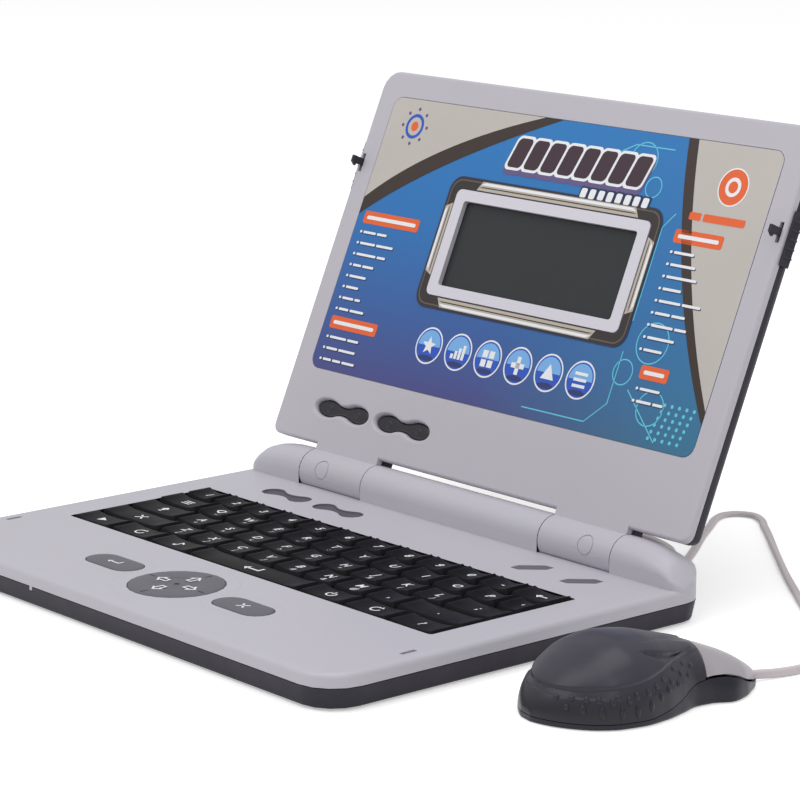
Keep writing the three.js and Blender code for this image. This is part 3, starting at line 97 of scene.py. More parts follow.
def tone(red, green, blue):
    def linear(value):
        value /= 255
        return value / 12.92 if value <= 0.04045 else ((value + 0.055) / 1.055) ** 2.4
    return (linear(red), linear(green), linear(blue), 1)


def smoothStep(low, high, value):
    share = min(max((value - low) / (high - low), 0), 1)
    return share * share * (3 - 2 * share)


# Shader effects shared by the materials
def startGroup(name, inputs, outputs):
    tree = bpy.data.node_groups.new(name, "ShaderNodeTree")
    for label, kind, value in inputs:
        socket = tree.interface.new_socket(name=label, in_out="INPUT", socket_type="NodeSocket" + kind)
        socket.default_value = value
    for label, kind in outputs:
        tree.interface.new_socket(name=label, in_out="OUTPUT", socket_type="NodeSocket" + kind)
    return tree, tree.nodes.new("NodeGroupInput"), tree.nodes.new("NodeGroupOutput")


def addNode(tree, kind, values=(), **settings):
    node = tree.nodes.new(kind)
    for key, value in settings.items():
        setattr(node, key, value)
    for key, value in dict(values).items():
        node.inputs[key].default_value = value
    return node


def mathNode(tree, operation, values=(), **settings):
    return addNode(tree, "ShaderNodeMath", values, operation=operation, **settings)


# Links by source, output, target and input
def wire(tree, *links):
    for source, output, target, entry in links:
        tree.links.new(source.outputs[output], target.inputs[entry])


# Moulded plastic: faint cloudy tone, fine sparkle grain and uneven gloss
def mouldedSkin():
    tree, start, end = startGroup(
        "mouldedSkin",
        [("Tone", "Color", (0.5, 0.5, 0.5, 1)), ("Mottle", "Float", 0.04), ("Gloss", "Float", 0.4),
         ("Grain Scale", "Float", 1500.0), ("Gloss Drift", "Float", 0.1)],
        [("Color", "Color"), ("Roughness", "Float"), ("Height", "Float")],
    )
    place = addNode(tree, "ShaderNodeTexCoord")
    cloud = addNode(tree, "ShaderNodeTexNoise", {"Scale": 22, "Detail": 3})
    grain = addNode(tree, "ShaderNodeTexNoise", {"Detail": 2, "Roughness": 0.6})
    speck = addNode(tree, "ShaderNodeTexNoise", {"Scale": 2600, "Detail": 1})
    wire(tree, (place, "Object", cloud, "Vector"), (place, "Object", grain, "Vector"),
             (place, "Object", speck, "Vector"), (start, "Grain Scale", grain, "Scale"))
    mix = mathNode(tree, "MULTIPLY", {1: 0.35})
    both = mathNode(tree, "ADD")
    wire(tree, (speck, "Fac", mix, 0), (mix, 0, both, 0), (cloud, "Fac", both, 1))
    centred = mathNode(tree, "SUBTRACT", {1: 0.675})
    spread = mathNode(tree, "MULTIPLY_ADD", {2: 1.0})
    shade = addNode(tree, "ShaderNodeVectorMath", operation="SCALE")
    wire(tree, (both, 0, centred, 0), (centred, 0, spread, 0), (start, "Mottle", spread, 1),
             (start, "Tone", shade, 0), (spread, 0, shade, "Scale"), (shade, 0, end, "Color"))
    drift = mathNode(tree, "SUBTRACT", {1: 0.5})
    gloss = mathNode(tree, "MULTIPLY_ADD", use_clamp=True)
    wire(tree, (cloud, "Fac", drift, 0), (drift, 0, gloss, 0), (start, "Gloss Drift", gloss, 1),
             (start, "Gloss", gloss, 2), (gloss, 0, end, "Roughness"), (grain, "Fac", end, "Height"))
    return tree


# Rubbed edges: a mask that is 1 on the outward edges
def rubbedEdge():
    tree, start, end = startGroup("rubbedEdge", [("Reach", "Float", 0.08)], [("Mask", "Float")])
    shape = addNode(tree, "ShaderNodeNewGeometry")
    place = addNode(tree, "ShaderNodeTexCoord")
    patch = addNode(tree, "ShaderNodeTexNoise", {"Scale": 90, "Detail": 3})
    lift = mathNode(tree, "SUBTRACT", {1: 0.5})
    ratio = mathNode(tree, "DIVIDE", use_clamp=True)
    mask = mathNode(tree, "MULTIPLY")
    wire(tree, (shape, "Pointiness", lift, 0), (lift, 0, ratio, 0), (start, "Reach", ratio, 1),
             (place, "Object", patch, "Vector"), (ratio, 0, mask, 0), (patch, "Fac", mask, 1),
             (mask, 0, end, "Mask"))
    return tree


# A fine engraved outline: a stadium of any reach, or a ring where the reach is zero
def engravedOutline():
    tree, start, end = startGroup(
        "engravedOutline",
        [("Centre", "Vector", (0, 0, 0)), ("Reach", "Float", 0.0), ("Radius", "Float", 0.02),
         ("Width", "Float", 0.0004)],
        [("Height", "Float")],
    )
    place = addNode(tree, "ShaderNodeTexCoord")
    move = addNode(tree, "ShaderNodeVectorMath", operation="SUBTRACT")
    split = addNode(tree, "ShaderNodeSeparateXYZ")
    side = mathNode(tree, "ABSOLUTE")
    past = mathNode(tree, "SUBTRACT")
    over = mathNode(tree, "MAXIMUM", {1: 0.0})
    join = addNode(tree, "ShaderNodeCombineXYZ")
    length = addNode(tree, "ShaderNodeVectorMath", operation="LENGTH")
    off = mathNode(tree, "SUBTRACT")
    gap = mathNode(tree, "ABSOLUTE")
    line = mathNode(tree, "DIVIDE", use_clamp=True)
    wire(tree, (place, "Object", move, 0), (start, "Centre", move, 1), (move, 0, split, 0),
             (split, "X", side, 0), (side, 0, past, 0), (start, "Reach", past, 1), (past, 0, over, 0),
             (over, 0, join, "X"), (split, "Y", join, "Y"), (join, 0, length, 0), (length, "Value", off, 0),
             (start, "Radius", off, 1), (off, 0, gap, 0), (gap, 0, line, 0), (start, "Width", line, 1),
             (line, 0, end, "Height"))
    return tree


skinGroup = mouldedSkin()
edgeGroup = rubbedEdge()
outlineGroup = engravedOutline()


def startMaterial(name, **sockets):
    material = bpy.data.materials.new(name)
    material.use_nodes = True
    shader = material.node_tree.nodes["Principled BSDF"]
    for label, value in sockets.items():
        shader.inputs[label.replace("_", " ")].default_value = value
    return material, material.node_tree, shader


def placeGroup(tree, group, values):
    node = tree.nodes.new("ShaderNodeGroup")
    node.node_tree = group
    for label, value in values.items():
        node.inputs[label].default_value = value
    return node


# Plastic in one tone, with its own grain, gloss and rubbed edges
def plastic(name, colour, gloss=0.4, mottle=0.05, grain=1500.0, depth=0.1, rub=0.0, rubTone=(200, 200, 205),
            **sockets):
    material, tree, shader = startMaterial(name, **sockets)
    skin = placeGroup(tree, skinGroup, {"Tone": tone(*colour), "Mottle": mottle, "Gloss": gloss,
                                        "Grain Scale": grain})
    bump = addNode(tree, "ShaderNodeBump", {"Strength": depth, "Distance": 0.0002})
    wire(tree, (skin, "Roughness", shader, "Roughness"), (skin, "Height", bump, "Height"),
             (bump, "Normal", shader, "Normal"))
    if rub:
        edge = placeGroup(tree, edgeGroup, {"Reach": 0.1})
        amount = mathNode(tree, "MULTIPLY", {1: rub})
        mix = addNode(tree, "ShaderNodeMix", data_type="RGBA")
        mix.inputs[7].default_value = tone(*rubTone)
        wire(tree, (edge, "Mask", amount, 0), (amount, 0, mix, 0), (skin, "Color", mix, 6),
                 (mix, 2, shader, "Base Color"))
    else:
        wire(tree, (skin, "Color", shader, "Base Color"))
    return material


# Painted shade: scales a material's colour by the height above the case's underside, darker low down
def paintedShadeBelow(material, low, high, least):
    tree = material.node_tree
    shader = tree.nodes["Principled BSDF"]
    before = shader.inputs["Base Color"].links[0]
    place = addNode(tree, "ShaderNodeTexCoord")
    split = addNode(tree, "ShaderNodeSeparateXYZ")
    span = addNode(tree, "ShaderNodeMapRange", {"From Min": low, "From Max": high, "To Min": least,
                                                "To Max": 1.0})
    shade = addNode(tree, "ShaderNodeVectorMath", operation="SCALE")
    wire(tree, (place, "Object", split, 0), (split, "Z", span, "Value"),
             (before.from_node, before.from_socket.name, shade, 0), (span, "Result", shade, "Scale"),
             (shade, 0, shader, "Base Color"))


# The plastics, inks and metals
paleShell = plastic("paleShell", (188, 184, 193), gloss=0.42, mottle=0.035, grain=1300.0, depth=0.12)
deckShell = plastic("deckShell", (188, 185, 194), gloss=0.42, mottle=0.035, grain=900.0, depth=0.2)
darkShell = plastic("darkShell", (48, 45, 55), gloss=0.45, mottle=0.06, grain=1300.0, depth=0.15, rub=0.15,
                    rubTone=(150, 148, 156), Specular_IOR_Level=0.14)
keyPlastic = plastic("keyPlastic", (17, 16, 20), mottle=0.08, rub=0.2, rubTone=(70, 68, 75),
                     Specular_IOR_Level=0.07)
greyButton = plastic("greyButton", (98, 96, 105), gloss=0.42, Specular_IOR_Level=0.3)
inlayGrey = plastic("inlayGrey", (88, 86, 94), gloss=0.5, Specular_IOR_Level=0.2)
rockerPlastic = plastic("rockerPlastic", (42, 40, 47), gloss=0.3, mottle=0.06, depth=0.08,
                        Specular_IOR_Level=0.4)
rubberMatt = plastic("rubberMatt", (40, 40, 42), gloss=0.75, mottle=0.1, grain=700.0, depth=0.3)
matRubber = plastic("matRubber", (150, 152, 155), gloss=0.6, mottle=0.06, grain=700.0, depth=0.2)
silverCap = plastic("silverCap", (176, 170, 176), gloss=0.3, grain=2200.0, depth=0.05, Metallic=0.35)
mouseGloss = plastic("mouseGloss", (58, 56, 67), gloss=0.34, grain=900.0, depth=0.02, Specular_IOR_Level=0.25,
                     Coat_Weight=0.16, Coat_Roughness=0.3)
# painted shade: the mouse shell's colour falls to 0.42 of its tone below 5 mm, standing in for the shade on
# its lower sides
paintedShadeBelow(mouseGloss, 0.005, 0.017, 0.42)
mouseDark = plastic("mouseDark", (35, 34, 45), gloss=0.38, grain=1200.0, depth=0.04, Specular_IOR_Level=0.25,
                    Coat_Weight=0.1, Coat_Roughness=0.2)
steelPlain = plastic("steelPlain", (180, 180, 184), gloss=0.28, mottle=0.08, grain=2500.0, depth=0.05,
                     Metallic=1.0)
cordSleeve = plastic("cordSleeve", (207, 198, 202), gloss=0.5, mottle=0.06, grain=700.0, depth=0.15)
bezelShell = plastic("bezelShell", (214, 211, 221), gloss=0.35, mottle=0.03, grain=1300.0)
# painted shade: near black for the trough faces round the hinge barrels, where shadow falls in the gap
paintedGapShade = plastic("paintedGapShade", (30, 28, 30), gloss=0.8, mottle=0.1, grain=900.0, Specular_IOR_Level=0.05)
whiteInk = plastic("whiteInk", (232, 232, 236), gloss=0.5, mottle=0.08, grain=3000.0, depth=0.02)

# Outlines engraved in the deck: centre, reach and radius in metres
engraved = {
    "width": 0.00035,
    "lines": (((0, -0.0668, 0), 0.0, 0.0272), ((-0.045, -0.0663, 0), 0.0088, 0.0118),
              ((0.045, -0.0663, 0), 0.0088, 0.0118)),
}


def engraveDeck():
    tree = deckShell.node_tree
    bump = next(node for node in tree.nodes if node.type == "BUMP")
    shader = tree.nodes["Principled BSDF"]
    last = None
    for centre, reach, radius in engraved["lines"]:
        line = placeGroup(tree, outlineGroup,
                          {"Centre": centre, "Reach": reach, "Radius": radius, "Width": engraved["width"]})
        if last:
            low = mathNode(tree, "MINIMUM")
            wire(tree, (*last, low, 0), (line, "Height", low, 1))
            last = (low, 0)
        else:
            last = (line, "Height")
    groove = addNode(tree, "ShaderNodeBump", {"Strength": 0.35, "Distance": 0.0003})
    wire(tree, (*last, groove, "Height"), (bump, "Normal", groove, "Normal"),
             (groove, "Normal", shader, "Normal"))


engraveDeck()


# Circuit board: green mask over crossing tracks and small pads
def boardMaterial():
    material, tree, shader = startMaterial("boardGreen")
    place = addNode(tree, "ShaderNodeTexCoord")
    tracks = addNode(tree, "ShaderNodeTexBrick", {"Scale": 160, "Mortar Size": 0.05,
                                                  "Color1": tone(24, 92, 60),
                                                  "Color2": tone(30, 104, 66), "Mortar": tone(64, 138, 84)})
    skin = placeGroup(tree, skinGroup, {"Tone": tone(40, 110, 70), "Gloss": 0.3})
    bump = addNode(tree, "ShaderNodeBump", {"Strength": 0.3, "Distance": 0.0001})
    wire(tree, (place, "Object", tracks, "Vector"), (tracks, "Color", shader, "Base Color"),
             (skin, "Roughness", shader, "Roughness"), (tracks, "Fac", bump, "Height"),
             (bump, "Normal", shader, "Normal"))
    return material


# Cell sleeve: a dark and a pale band round each can
def cellMaterial():
    material, tree, shader = startMaterial("cellSleeve")
    place = addNode(tree, "ShaderNodeTexCoord")
    split = addNode(tree, "ShaderNodeSeparateXYZ")
    ramp = addNode(tree, "ShaderNodeValToRGB")
    span = addNode(tree, "ShaderNodeMapRange", {1: -0.091, 2: -0.045})
    skin = placeGroup(tree, skinGroup, {"Tone": tone(40, 60, 90), "Gloss": 0.3})
    ramp.color_ramp.interpolation = "CONSTANT"
    ramp.color_ramp.elements[0].color = tone(176, 178, 184)
    ramp.color_ramp.elements[1].position = 0.62
    ramp.color_ramp.elements[1].color = tone(52, 74, 110)
    wire(tree, (place, "Object", split, 0), (split, "Y", span, 0), (span, 0, ramp, 0),
             (ramp, "Color", shader, "Base Color"), (skin, "Roughness", shader, "Roughness"))
    return material


# Printed sheet: blue that turns violet below and teal to the right, under a fine print grain
def sheetMaterial():
    material, tree, shader = startMaterial("sheetPrint", Coat_Weight=0.25, Coat_Roughness=0.25)
    flat = addNode(tree, "ShaderNodeUVMap")
    flat.uv_map = "sheetMap"
    split = addNode(tree, "ShaderNodeSeparateXYZ")
    down = addNode(tree, "ShaderNodeValToRGB")
    stops = [(0.0, (62, 66, 132)), (0.22, (42, 86, 156)), (0.55, (12, 108, 180)), (1.0, (8, 118, 188))]
    aside = addNode(tree, "ShaderNodeValToRGB")
    sideStops = [(0.0, (38, 108, 142)), (0.35, (26, 110, 164)), (1.0, (14, 112, 182))]
    for ramp, colours in ((down, stops), (aside, sideStops)):
        band = ramp.color_ramp
        while len(band.elements) < len(colours):
            band.elements.new(0.5)
        for element, (position, colour) in zip(band.elements, colours):
            element.position = position
            element.color = tone(*colour)
    reach = addNode(tree, "ShaderNodeMapRange", {1: 0.45, 2: 0.95})
    mix = addNode(tree, "ShaderNodeMix", data_type="RGBA")
    place = addNode(tree, "ShaderNodeTexCoord")
    grit = addNode(tree, "ShaderNodeTexNoise", {"Scale": 3200, "Detail": 1})
    amount = addNode(tree, "ShaderNodeMapRange", {3: 0.9, 4: 1.1})
    shade = addNode(tree, "ShaderNodeVectorMath", operation="SCALE")
    skin = placeGroup(tree, skinGroup, {"Gloss": 0.34, "Gloss Drift": 0.12})
    wire(tree, (flat, 0, split, 0), (split, "Y", down, 0), (split, "Y", aside, 0), (split, "X", reach, 0),
             (reach, 0, mix, 0), (down, "Color", mix, 6), (aside, "Color", mix, 7),
             (place, "Object", grit, "Vector"), (grit, "Fac", amount, 0), (mix, 2, shade, 0),
             (amount, 0, shade, "Scale"), (shade, 0, shader, "Base Color"),
             (skin, "Roughness", shader, "Roughness"))
    return material


# Display: dark grey-green with a faint dot raster
def displayMaterial():
    material, tree, shader = startMaterial("displayGlass", Coat_Weight=0.06, Coat_Roughness=0.1,
                                           Specular_IOR_Level=0.2)
    place = addNode(tree, "ShaderNodeTexCoord")
    turn = addNode(tree, "ShaderNodeMapping", {"Rotation": (-(math.pi / 2 - lidLean), 0, 0)})
    dots = addNode(tree, "ShaderNodeTexBrick", {"Scale": 900, "Mortar Size": 0.06, "Color1": tone(54, 57, 59),
                                                "Color2": tone(57, 60, 61), "Mortar": tone(50, 53, 55)},
                   offset=0.0)
    skin = placeGroup(tree, skinGroup, {"Gloss": 0.28, "Gloss Drift": 0.05})
    wire(tree, (place, "Object", turn, "Vector"), (turn, 0, dots, "Vector"),
             (dots, "Color", shader, "Base Color"), (skin, "Roughness", shader, "Roughness"))
    return material


boardGreen = boardMaterial()
cellSleeve = cellMaterial()
sheetPrint = sheetMaterial()
displayGlass = displayMaterial()
print("materials made")


# Mesh helpers
edgeAngles = {"rounded": 34, "sharp": 37}  # degrees: steeper edges of a CAD copy are rounded, or shaded sharp
tolerance = {"weld": 3e-6, "cut": 1e-7, "flat": math.radians(0.8)}  # metres, metres and radians


def pieceFrom(name, mesh, materials, body, replaced=(), sharp=50):
    for material in materials:
        mesh.materials.append(material)
    mesh.shade_smooth()
    mesh.set_sharp_from_angle(angle=math.radians(sharp))
    piece = linked(name, mesh)
    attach(piece, body)
    if replaced:
        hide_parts(*replaced)
    return piece


def meshFrom(name, bm, place=casePlace):
    bmesh.ops.transform(bm, matrix=place, verts=bm.verts)
    mesh = bpy.data.meshes.new(name)
    bm.to_mesh(mesh)
    bm.free()
    return mesh


# The mesh that a carrier's modifiers leave; the carrier goes
def settled(carrier):
    depsgraph = bpy.context.evaluated_depsgraph_get()
    result = bpy.data.meshes.new_from_object(carrier.evaluated_get(depsgraph), depsgraph=depsgraph)
    bpy.data.objects.remove(carrier)
    result.materials.clear()
    return result


# One mesh of several, each with the number of its material
def joined(name, *parts):
    whole = bmesh.new()
    for mesh, material in parts:
        first = len(whole.faces)
        whole.from_mesh(mesh)
        whole.faces.ensure_lookup_table()
        for face in whole.faces[first:]:
            face.material_index = material
    return meshFrom(name, whole, Matrix())


# The mesh with its edges sharper than the angle rounded
def rounded(mesh, width, angle=edgeAngles["rounded"]):
    carrier = linked("carrier", mesh)
    mesh.shade_smooth()
    bevel = carrier.modifiers.new("bevel", "BEVEL")
    bevel.width = width * mm
    bevel.segments = 2
    bevel.limit_method = "ANGLE"
    bevel.angle_limit = math.radians(angle)
    bevel.miter_outer = "MITER_ARC"
    return settled(carrier)


# The mesh with the cutter's space taken out of it
def carved(mesh, cutterMesh):
    carrier, cutter = linked("carrier", mesh), linked("cutter", cutterMesh)
    hole = carrier.modifiers.new("hole", "BOOLEAN")
    hole.operation = "DIFFERENCE"
    hole.solver = "EXACT"
    hole.object = cutter
    result = settled(carrier)
    bpy.data.objects.remove(cutter)
    return result


def merged(node):
    bm = bmesh.new()
    bm.from_mesh(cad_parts[node].data)
    bmesh.ops.remove_doubles(bm, verts=bm.verts, dist=tolerance["weld"])
    bmesh.ops.dissolve_limit(bm, angle_limit=tolerance["flat"], verts=bm.verts, edges=bm.edges)
    return bm


# The part of a CAD node below a level, closed again
def lowerPart(node, level):
    bm = merged(node)
    bmesh.ops.bisect_plane(bm, geom=bm.verts[:] + bm.edges[:] + bm.faces[:], dist=tolerance["cut"],
                           plane_co=(0, 0, level * mm), plane_no=(0, 0, 1), clear_outer=True)
    bmesh.ops.holes_fill(bm, edges=[edge for edge in bm.edges if edge.is_boundary])
    bmesh.ops.recalc_face_normals(bm, faces=bm.faces)
    return bm


# A finer copy of a CAD node: merged, its edges rounded, with normals weighted by face
def refined(node, width, material, body, cutter=None, shaper=None):
    bm = merged(node)
    if shaper:
        for vert in bm.verts:
            vert.co = shaper(vert.co / mm) * mm
    mesh = meshFrom(node + "_fine", bm, Matrix())
    if cutter:
        mesh = carved(mesh, cutter)
    mesh = rounded(mesh, width)
    piece = pieceFrom(node + "_fine", mesh, [material], body, [node], edgeAngles["sharp"])
    normal = piece.modifiers.new("weigh", "WEIGHTED_NORMAL")
    normal.keep_sharp = True
    normal.weight = 60
    return piece


def startTree(name, inputs):
    tree = bpy.data.node_groups.new(name, "GeometryNodeTree")
    for label, kind in inputs:
        tree.interface.new_socket(name=label, in_out="INPUT", socket_type="NodeSocket" + kind)
    tree.interface.new_socket(name="Result", in_out="OUTPUT", socket_type="NodeSocketGeometry")
    return tree, tree.nodes.new("NodeGroupInput"), tree.nodes.new("NodeGroupOutput")


# The end of a tree: its copies made real, in the finish that the modifier names
def endTree(tree, copies, start, end):
    solid = addNode(tree, "GeometryNodeRealizeInstances")
    finish = addNode(tree, "GeometryNodeSetMaterial")
    wire(tree, (copies, 0, solid, 0), (solid, 0, finish, "Geometry"), (start, "Finish", finish, "Material"),
             (finish, 0, end, 0))


# Likes of one shape in a row
def likesInRow():
    tree, start, end = startTree("likesInRow", [("Shape", "Geometry"), ("Count", "Int"), ("Pitch", "Float"),
                                                ("Finish", "Material")])
    step = addNode(tree, "ShaderNodeCombineXYZ")
    line = addNode(tree, "GeometryNodeMeshLine", mode="OFFSET")
    copies = addNode(tree, "GeometryNodeInstanceOnPoints")
    wire(tree, (start, "Pitch", step, "X"), (start, "Count", line, "Count"), (step, 0, line, "Offset"),
             (line, 0, copies, "Points"), (start, "Shape", copies, "Instance"))
    endTree(tree, copies, start, end)
    return tree


# Oval drops on points, each turned by the point's own "lift" and "rise" and scaled by its "stretch"
def dropsOnSkin():
    tree, start, end = startTree("dropsOnSkin", [("Points", "Geometry"), ("Width", "Float"),
                                                 ("Length", "Float"),
                                                 ("Height", "Float"), ("Finish", "Material")])
    ball = addNode(tree, "GeometryNodeMeshUVSphere", {"Segments": 16, "Rings": 8, "Radius": 0.5})
    size = addNode(tree, "ShaderNodeCombineXYZ")
    oval = addNode(tree, "GeometryNodeTransform")
    lift, rise, stretch = (addNode(tree, "GeometryNodeInputNamedAttribute", {"Name": label},
                                   data_type="FLOAT_VECTOR")
                           for label in ("lift", "rise", "stretch"))
    upright = addNode(tree, "FunctionNodeAlignRotationToVector", axis="Z")
    turned = addNode(tree, "FunctionNodeAlignRotationToVector", axis="Y", pivot_axis="Z")
    copies = addNode(tree, "GeometryNodeInstanceOnPoints")
    wire(tree, (start, "Width", size, "X"), (start, "Length", size, "Y"), (start, "Height", size, "Z"),
             (ball, "Mesh", oval, "Geometry"), (size, 0, oval, "Scale"),
         (lift, "Attribute", upright, "Vector"),
             (upright, 0, turned, "Rotation"), (rise, "Attribute", turned, "Vector"),
             (turned, 0, copies, "Rotation"), (start, "Points", copies, "Points"),
             (oval, 0, copies, "Instance"), (stretch, "Attribute", copies, "Scale"))
    endTree(tree, copies, start, end)
    return tree


rowTree = likesInRow()
dropTree = dropsOnSkin()


# The plain mesh that a tree makes of a mesh
def grown(mesh, tree, values):
    carrier = linked("carrier", mesh)
    modifier = carrier.modifiers.new("tree", "NODES")
    modifier.node_group = tree
    for item in tree.interface.items_tree:
        if item.in_out == "INPUT" and item.name in values:
            modifier[item.identifier] = values[item.name]
    return settled(carrier)


# Four-sided faces between rows of vertices, round to the start where closed
def joinRows(bm, rows, closed=False):
    count = len(rows[0])
    for near, far in zip(rows, rows[1:]):
        for step in range(count if closed else count - 1):
            following = (step + 1) % count
            bm.faces.new((near[step], near[following], far[following], far[step]))


# Closed solid from outlines stacked from the bottom up
def stacked(bm, layers, close=True):
    rings = [[bm.verts.new((x, y, level)) for x, y in outline] for level, outline in layers]
    joinRows(bm, rings, closed=True)
    if close:
        bm.faces.new(rings[0][::-1])
        bm.faces.new(rings[-1])


def lifted(x, y, level, height):
    return (x, y, level if height is None else height(x, y) + level)


# Flat shape at one level or above a curved height, facing up or down
def addFlat(bm, outline, level, material=0, holes=(), height=None, down=False):
    loops = [[Vector((x, y, 0)) for x, y in loop] for loop in (outline, *holes)]
    verts = [bm.verts.new(lifted(point.x, point.y, level, height)) for loop in loops for point in loop]
    for triangle in tessellate_polygon(loops):
        corners = [verts[index] for index in triangle]
        if len(set(corners)) < 3:
            continue
        a, b, c = (corner.co for corner in corners)
        clockwise = (b.x - a.x) * (c.y - a.y) - (b.y - a.y) * (c.x - a.x) < 0
        if clockwise != down:
            corners.reverse()
        bm.faces.new(corners).material_index = material


# Outlines as lists of points
def fourCorners(left, low, right, high):
    return [(left, low), (right, low), (right, high), (left, high)]


def roundedRectangle(left, low, right, high, radius, steps=6):
    corners = [(right - radius, high - radius, 0), (left + radius, high - radius, 1),
               (left + radius, low + radius, 2), (right - radius, low + radius, 3)]
    return [(x + radius * math.cos((quarter + step / steps) * math.pi / 2),
             y + radius * math.sin((quarter + step / steps) * math.pi / 2))
            for x, y, quarter in corners for step in range(steps + 1)]


def disc(x, y, radius, steps=32, squash=1.0):
    return [(x + radius * math.cos(step / steps * math.tau),
             y + radius * squash * math.sin(step / steps * math.tau))
            for step in range(steps)]


# Points of an arc round the middle, its angles in degrees
def arcPoints(radius, first, last, step=20):
    return [(radius * math.cos(math.radians(angle)), radius * math.sin(math.radians(angle)))
            for angle in range(first, last + 1, step)]


def stadium(length, width, grow=0, steps=10):
    radius, reach = width / 2 + grow, (length - width) / 2
    right = [(reach + radius * math.cos(angle), radius * math.sin(angle))
             for angle in (math.pi * (step / steps - 0.5) for step in range(steps + 1))]
    return right + [(-x, -y) for x, y in right]


# Two lobes joined by hollow sides, moved outwards by grow
def figureEight(length, lobe, waist, grow=0, steps=14):
    lobeRadius, waistHalf = lobe / 2, waist / 2
    reach = length / 2 - lobeRadius
    hollow = (reach ** 2 + waistHalf ** 2 - lobeRadius ** 2) / (lobeRadius - waistHalf) / 2
    centre = waistHalf + hollow
    lean = math.atan2(centre, reach)

    def arc(x, y, radius, first, last, count):
        angles = [first + (last - first) * step / count for step in range(count + 1)]
        return [(x + radius * math.cos(angle), y + radius * math.sin(angle)) for angle in angles]

    points = arc(reach, 0, lobeRadius + grow, lean - math.pi, math.pi - lean, steps * 2)
    points += arc(0, centre, hollow - grow, -lean, lean - math.pi, steps)[1:-1]
    points += arc(-reach, 0, lobeRadius + grow, lean, math.tau - lean, steps * 2)
    points += arc(0, -centre, hollow - grow, math.pi - lean, lean, steps)[1:-1]
    return points


# A band of even width along a line of points
def band(points, width, closed=False):
    count = len(points)
    left, right = [], []
    for index in range(count):
        before = points[index - 1] if index or closed else points[index]
        after = points[(index + 1) % count] if index + 1 < count or closed else points[index]
        dx, dy = after[0] - before[0], after[1] - before[1]
        size = math.hypot(dx, dy) or 1
        nx, ny = -dy / size * width / 2, dx / size * width / 2
        left.append((points[index][0] + nx, points[index][1] + ny))
        right.append((points[index][0] - nx, points[index][1] - ny))
    return left + right[::-1]


def moved(points, x=0, y=0, turn=0, size=1, lean=0):
    cosine, sine = math.cos(turn), math.sin(turn)
    return [(x + size * ((px + lean * py) * cosine - py * sine),
             y + size * ((px + lean * py) * sine + py * cosine))
            for px, py in points]


# Letters, digits and signs as flat triangles, centred on their own middle
lettering = {"lean": 0.22, "middle": 0.36, "low": (-0.1, -0.3), "high": (1.2, 1.0)}  # in shares of its size
glyphStore = {}


def glyph(text, bold):
    if (text, bold) not in glyphStore:
        curve = bpy.data.curves.new("glyph", "FONT")
        curve.body = text
        curve.size = 1
        curve.offset = bold
        curve.shear = lettering["lean"]
        curve.resolution_u = 3
        mesh = settled(linked("glyph", curve))
        points = [tuple(min(max(vertex.co[axis], lettering["low"][axis]), lettering["high"][axis])
                        for axis in (0, 1))
                  for vertex in mesh.vertices]
        faces = [tuple(face.vertices) for face in mesh.polygons]
        bpy.data.meshes.remove(mesh)
        middle = (min(x for x, _ in points) + max(x for x, _ in points)) / 2
        glyphStore[text, bold] = ([(x - middle, y - lettering["middle"]) for x, y in points], faces)
    return glyphStore[text, bold]


def addGlyph(bm, text, x, y, size, level, height, bold):
    points, faces = glyph(text, bold)
    verts = [bm.verts.new(lifted(px, py, level, height)) for px, py in moved(points, x, y, 0, size)]
    for corners in faces:
        ring = [verts[index] for index in corners]
        area = sum(ring[i - 1].co.x * ring[i].co.y - ring[i].co.x * ring[i - 1].co.y
                   for i in range(len(ring)))
        bm.faces.new(ring if area > 0 else ring[::-1])


# Cubic from one value to the next, with a slope at each end
def cubic(first, second, inSlope, outSlope, share):
    square, cube = share * share, share ** 3
    return (first * (2 * cube - 3 * square + 1) + inSlope * (cube - 2 * square + share)
            + second * (3 * square - 2 * cube) + outSlope * (cube - square))


# Cord: a flat two-core lead that lies on the table and turns on edge at its ends
cord = {
    "width": 3.9, "thickness": 2.7, "sides": 20, "steps": 420, "exit": (20, 107.5, 5),
    "roundness": 0.9, "groove": 0.34, "grooveWidth": 0.55,
    "turn": 88, "turnFrom": 0.79, "turnTo": 0.9, "tilt": 0.35, "tiltPlace": 0.715, "tiltWidth": 0.04,
    "route": [
        (20, 108.9, 4.5), (19.8, 114, 4), (18.4, 124, 1.2), (15, 142, 0), (17, 160, 0), (23, 172, 0),
        (32, 177, 0), (42, 176, 0), (53.6, 172, 0), (61, 167, 0), (66, 160.4, 0), (67.6, 153, 0),
        (65.6, 145.5, 0), (64.4, 137.5, 0), (68.2, 130.4, 0), (75.6, 127.6, 0), (82.8, 130.6, 0),
        (86.4, 137.4, 0), (86, 145.2, 0), (81.4, 153.6, 0), (74, 164, 0), (63, 180, 0), (49.8, 198.3, 0),
        (38.6, 215.4, 0), (31.8, 225.6, 0), (28.8, 234.4, 0), (31.4, 241.4, 0), (38.6, 244.6, 0),
        (47.4, 240.8, 0), (56.6, 232.9, 0), (67, 224.3, 0), (91.7, 202.8, 0), (120.6, 178.2, 0),
        (150.2, 154.5, 0), (170, 138.6, 0), (189, 123, 0), (207, 106.5, 0), (218, 91.5, 0), (221.5, 78, 0),
        (219.6, 65, 0.3), (217.1, 56.1, 0.9), (216.2, 52.3, 0.9),
    ],
}


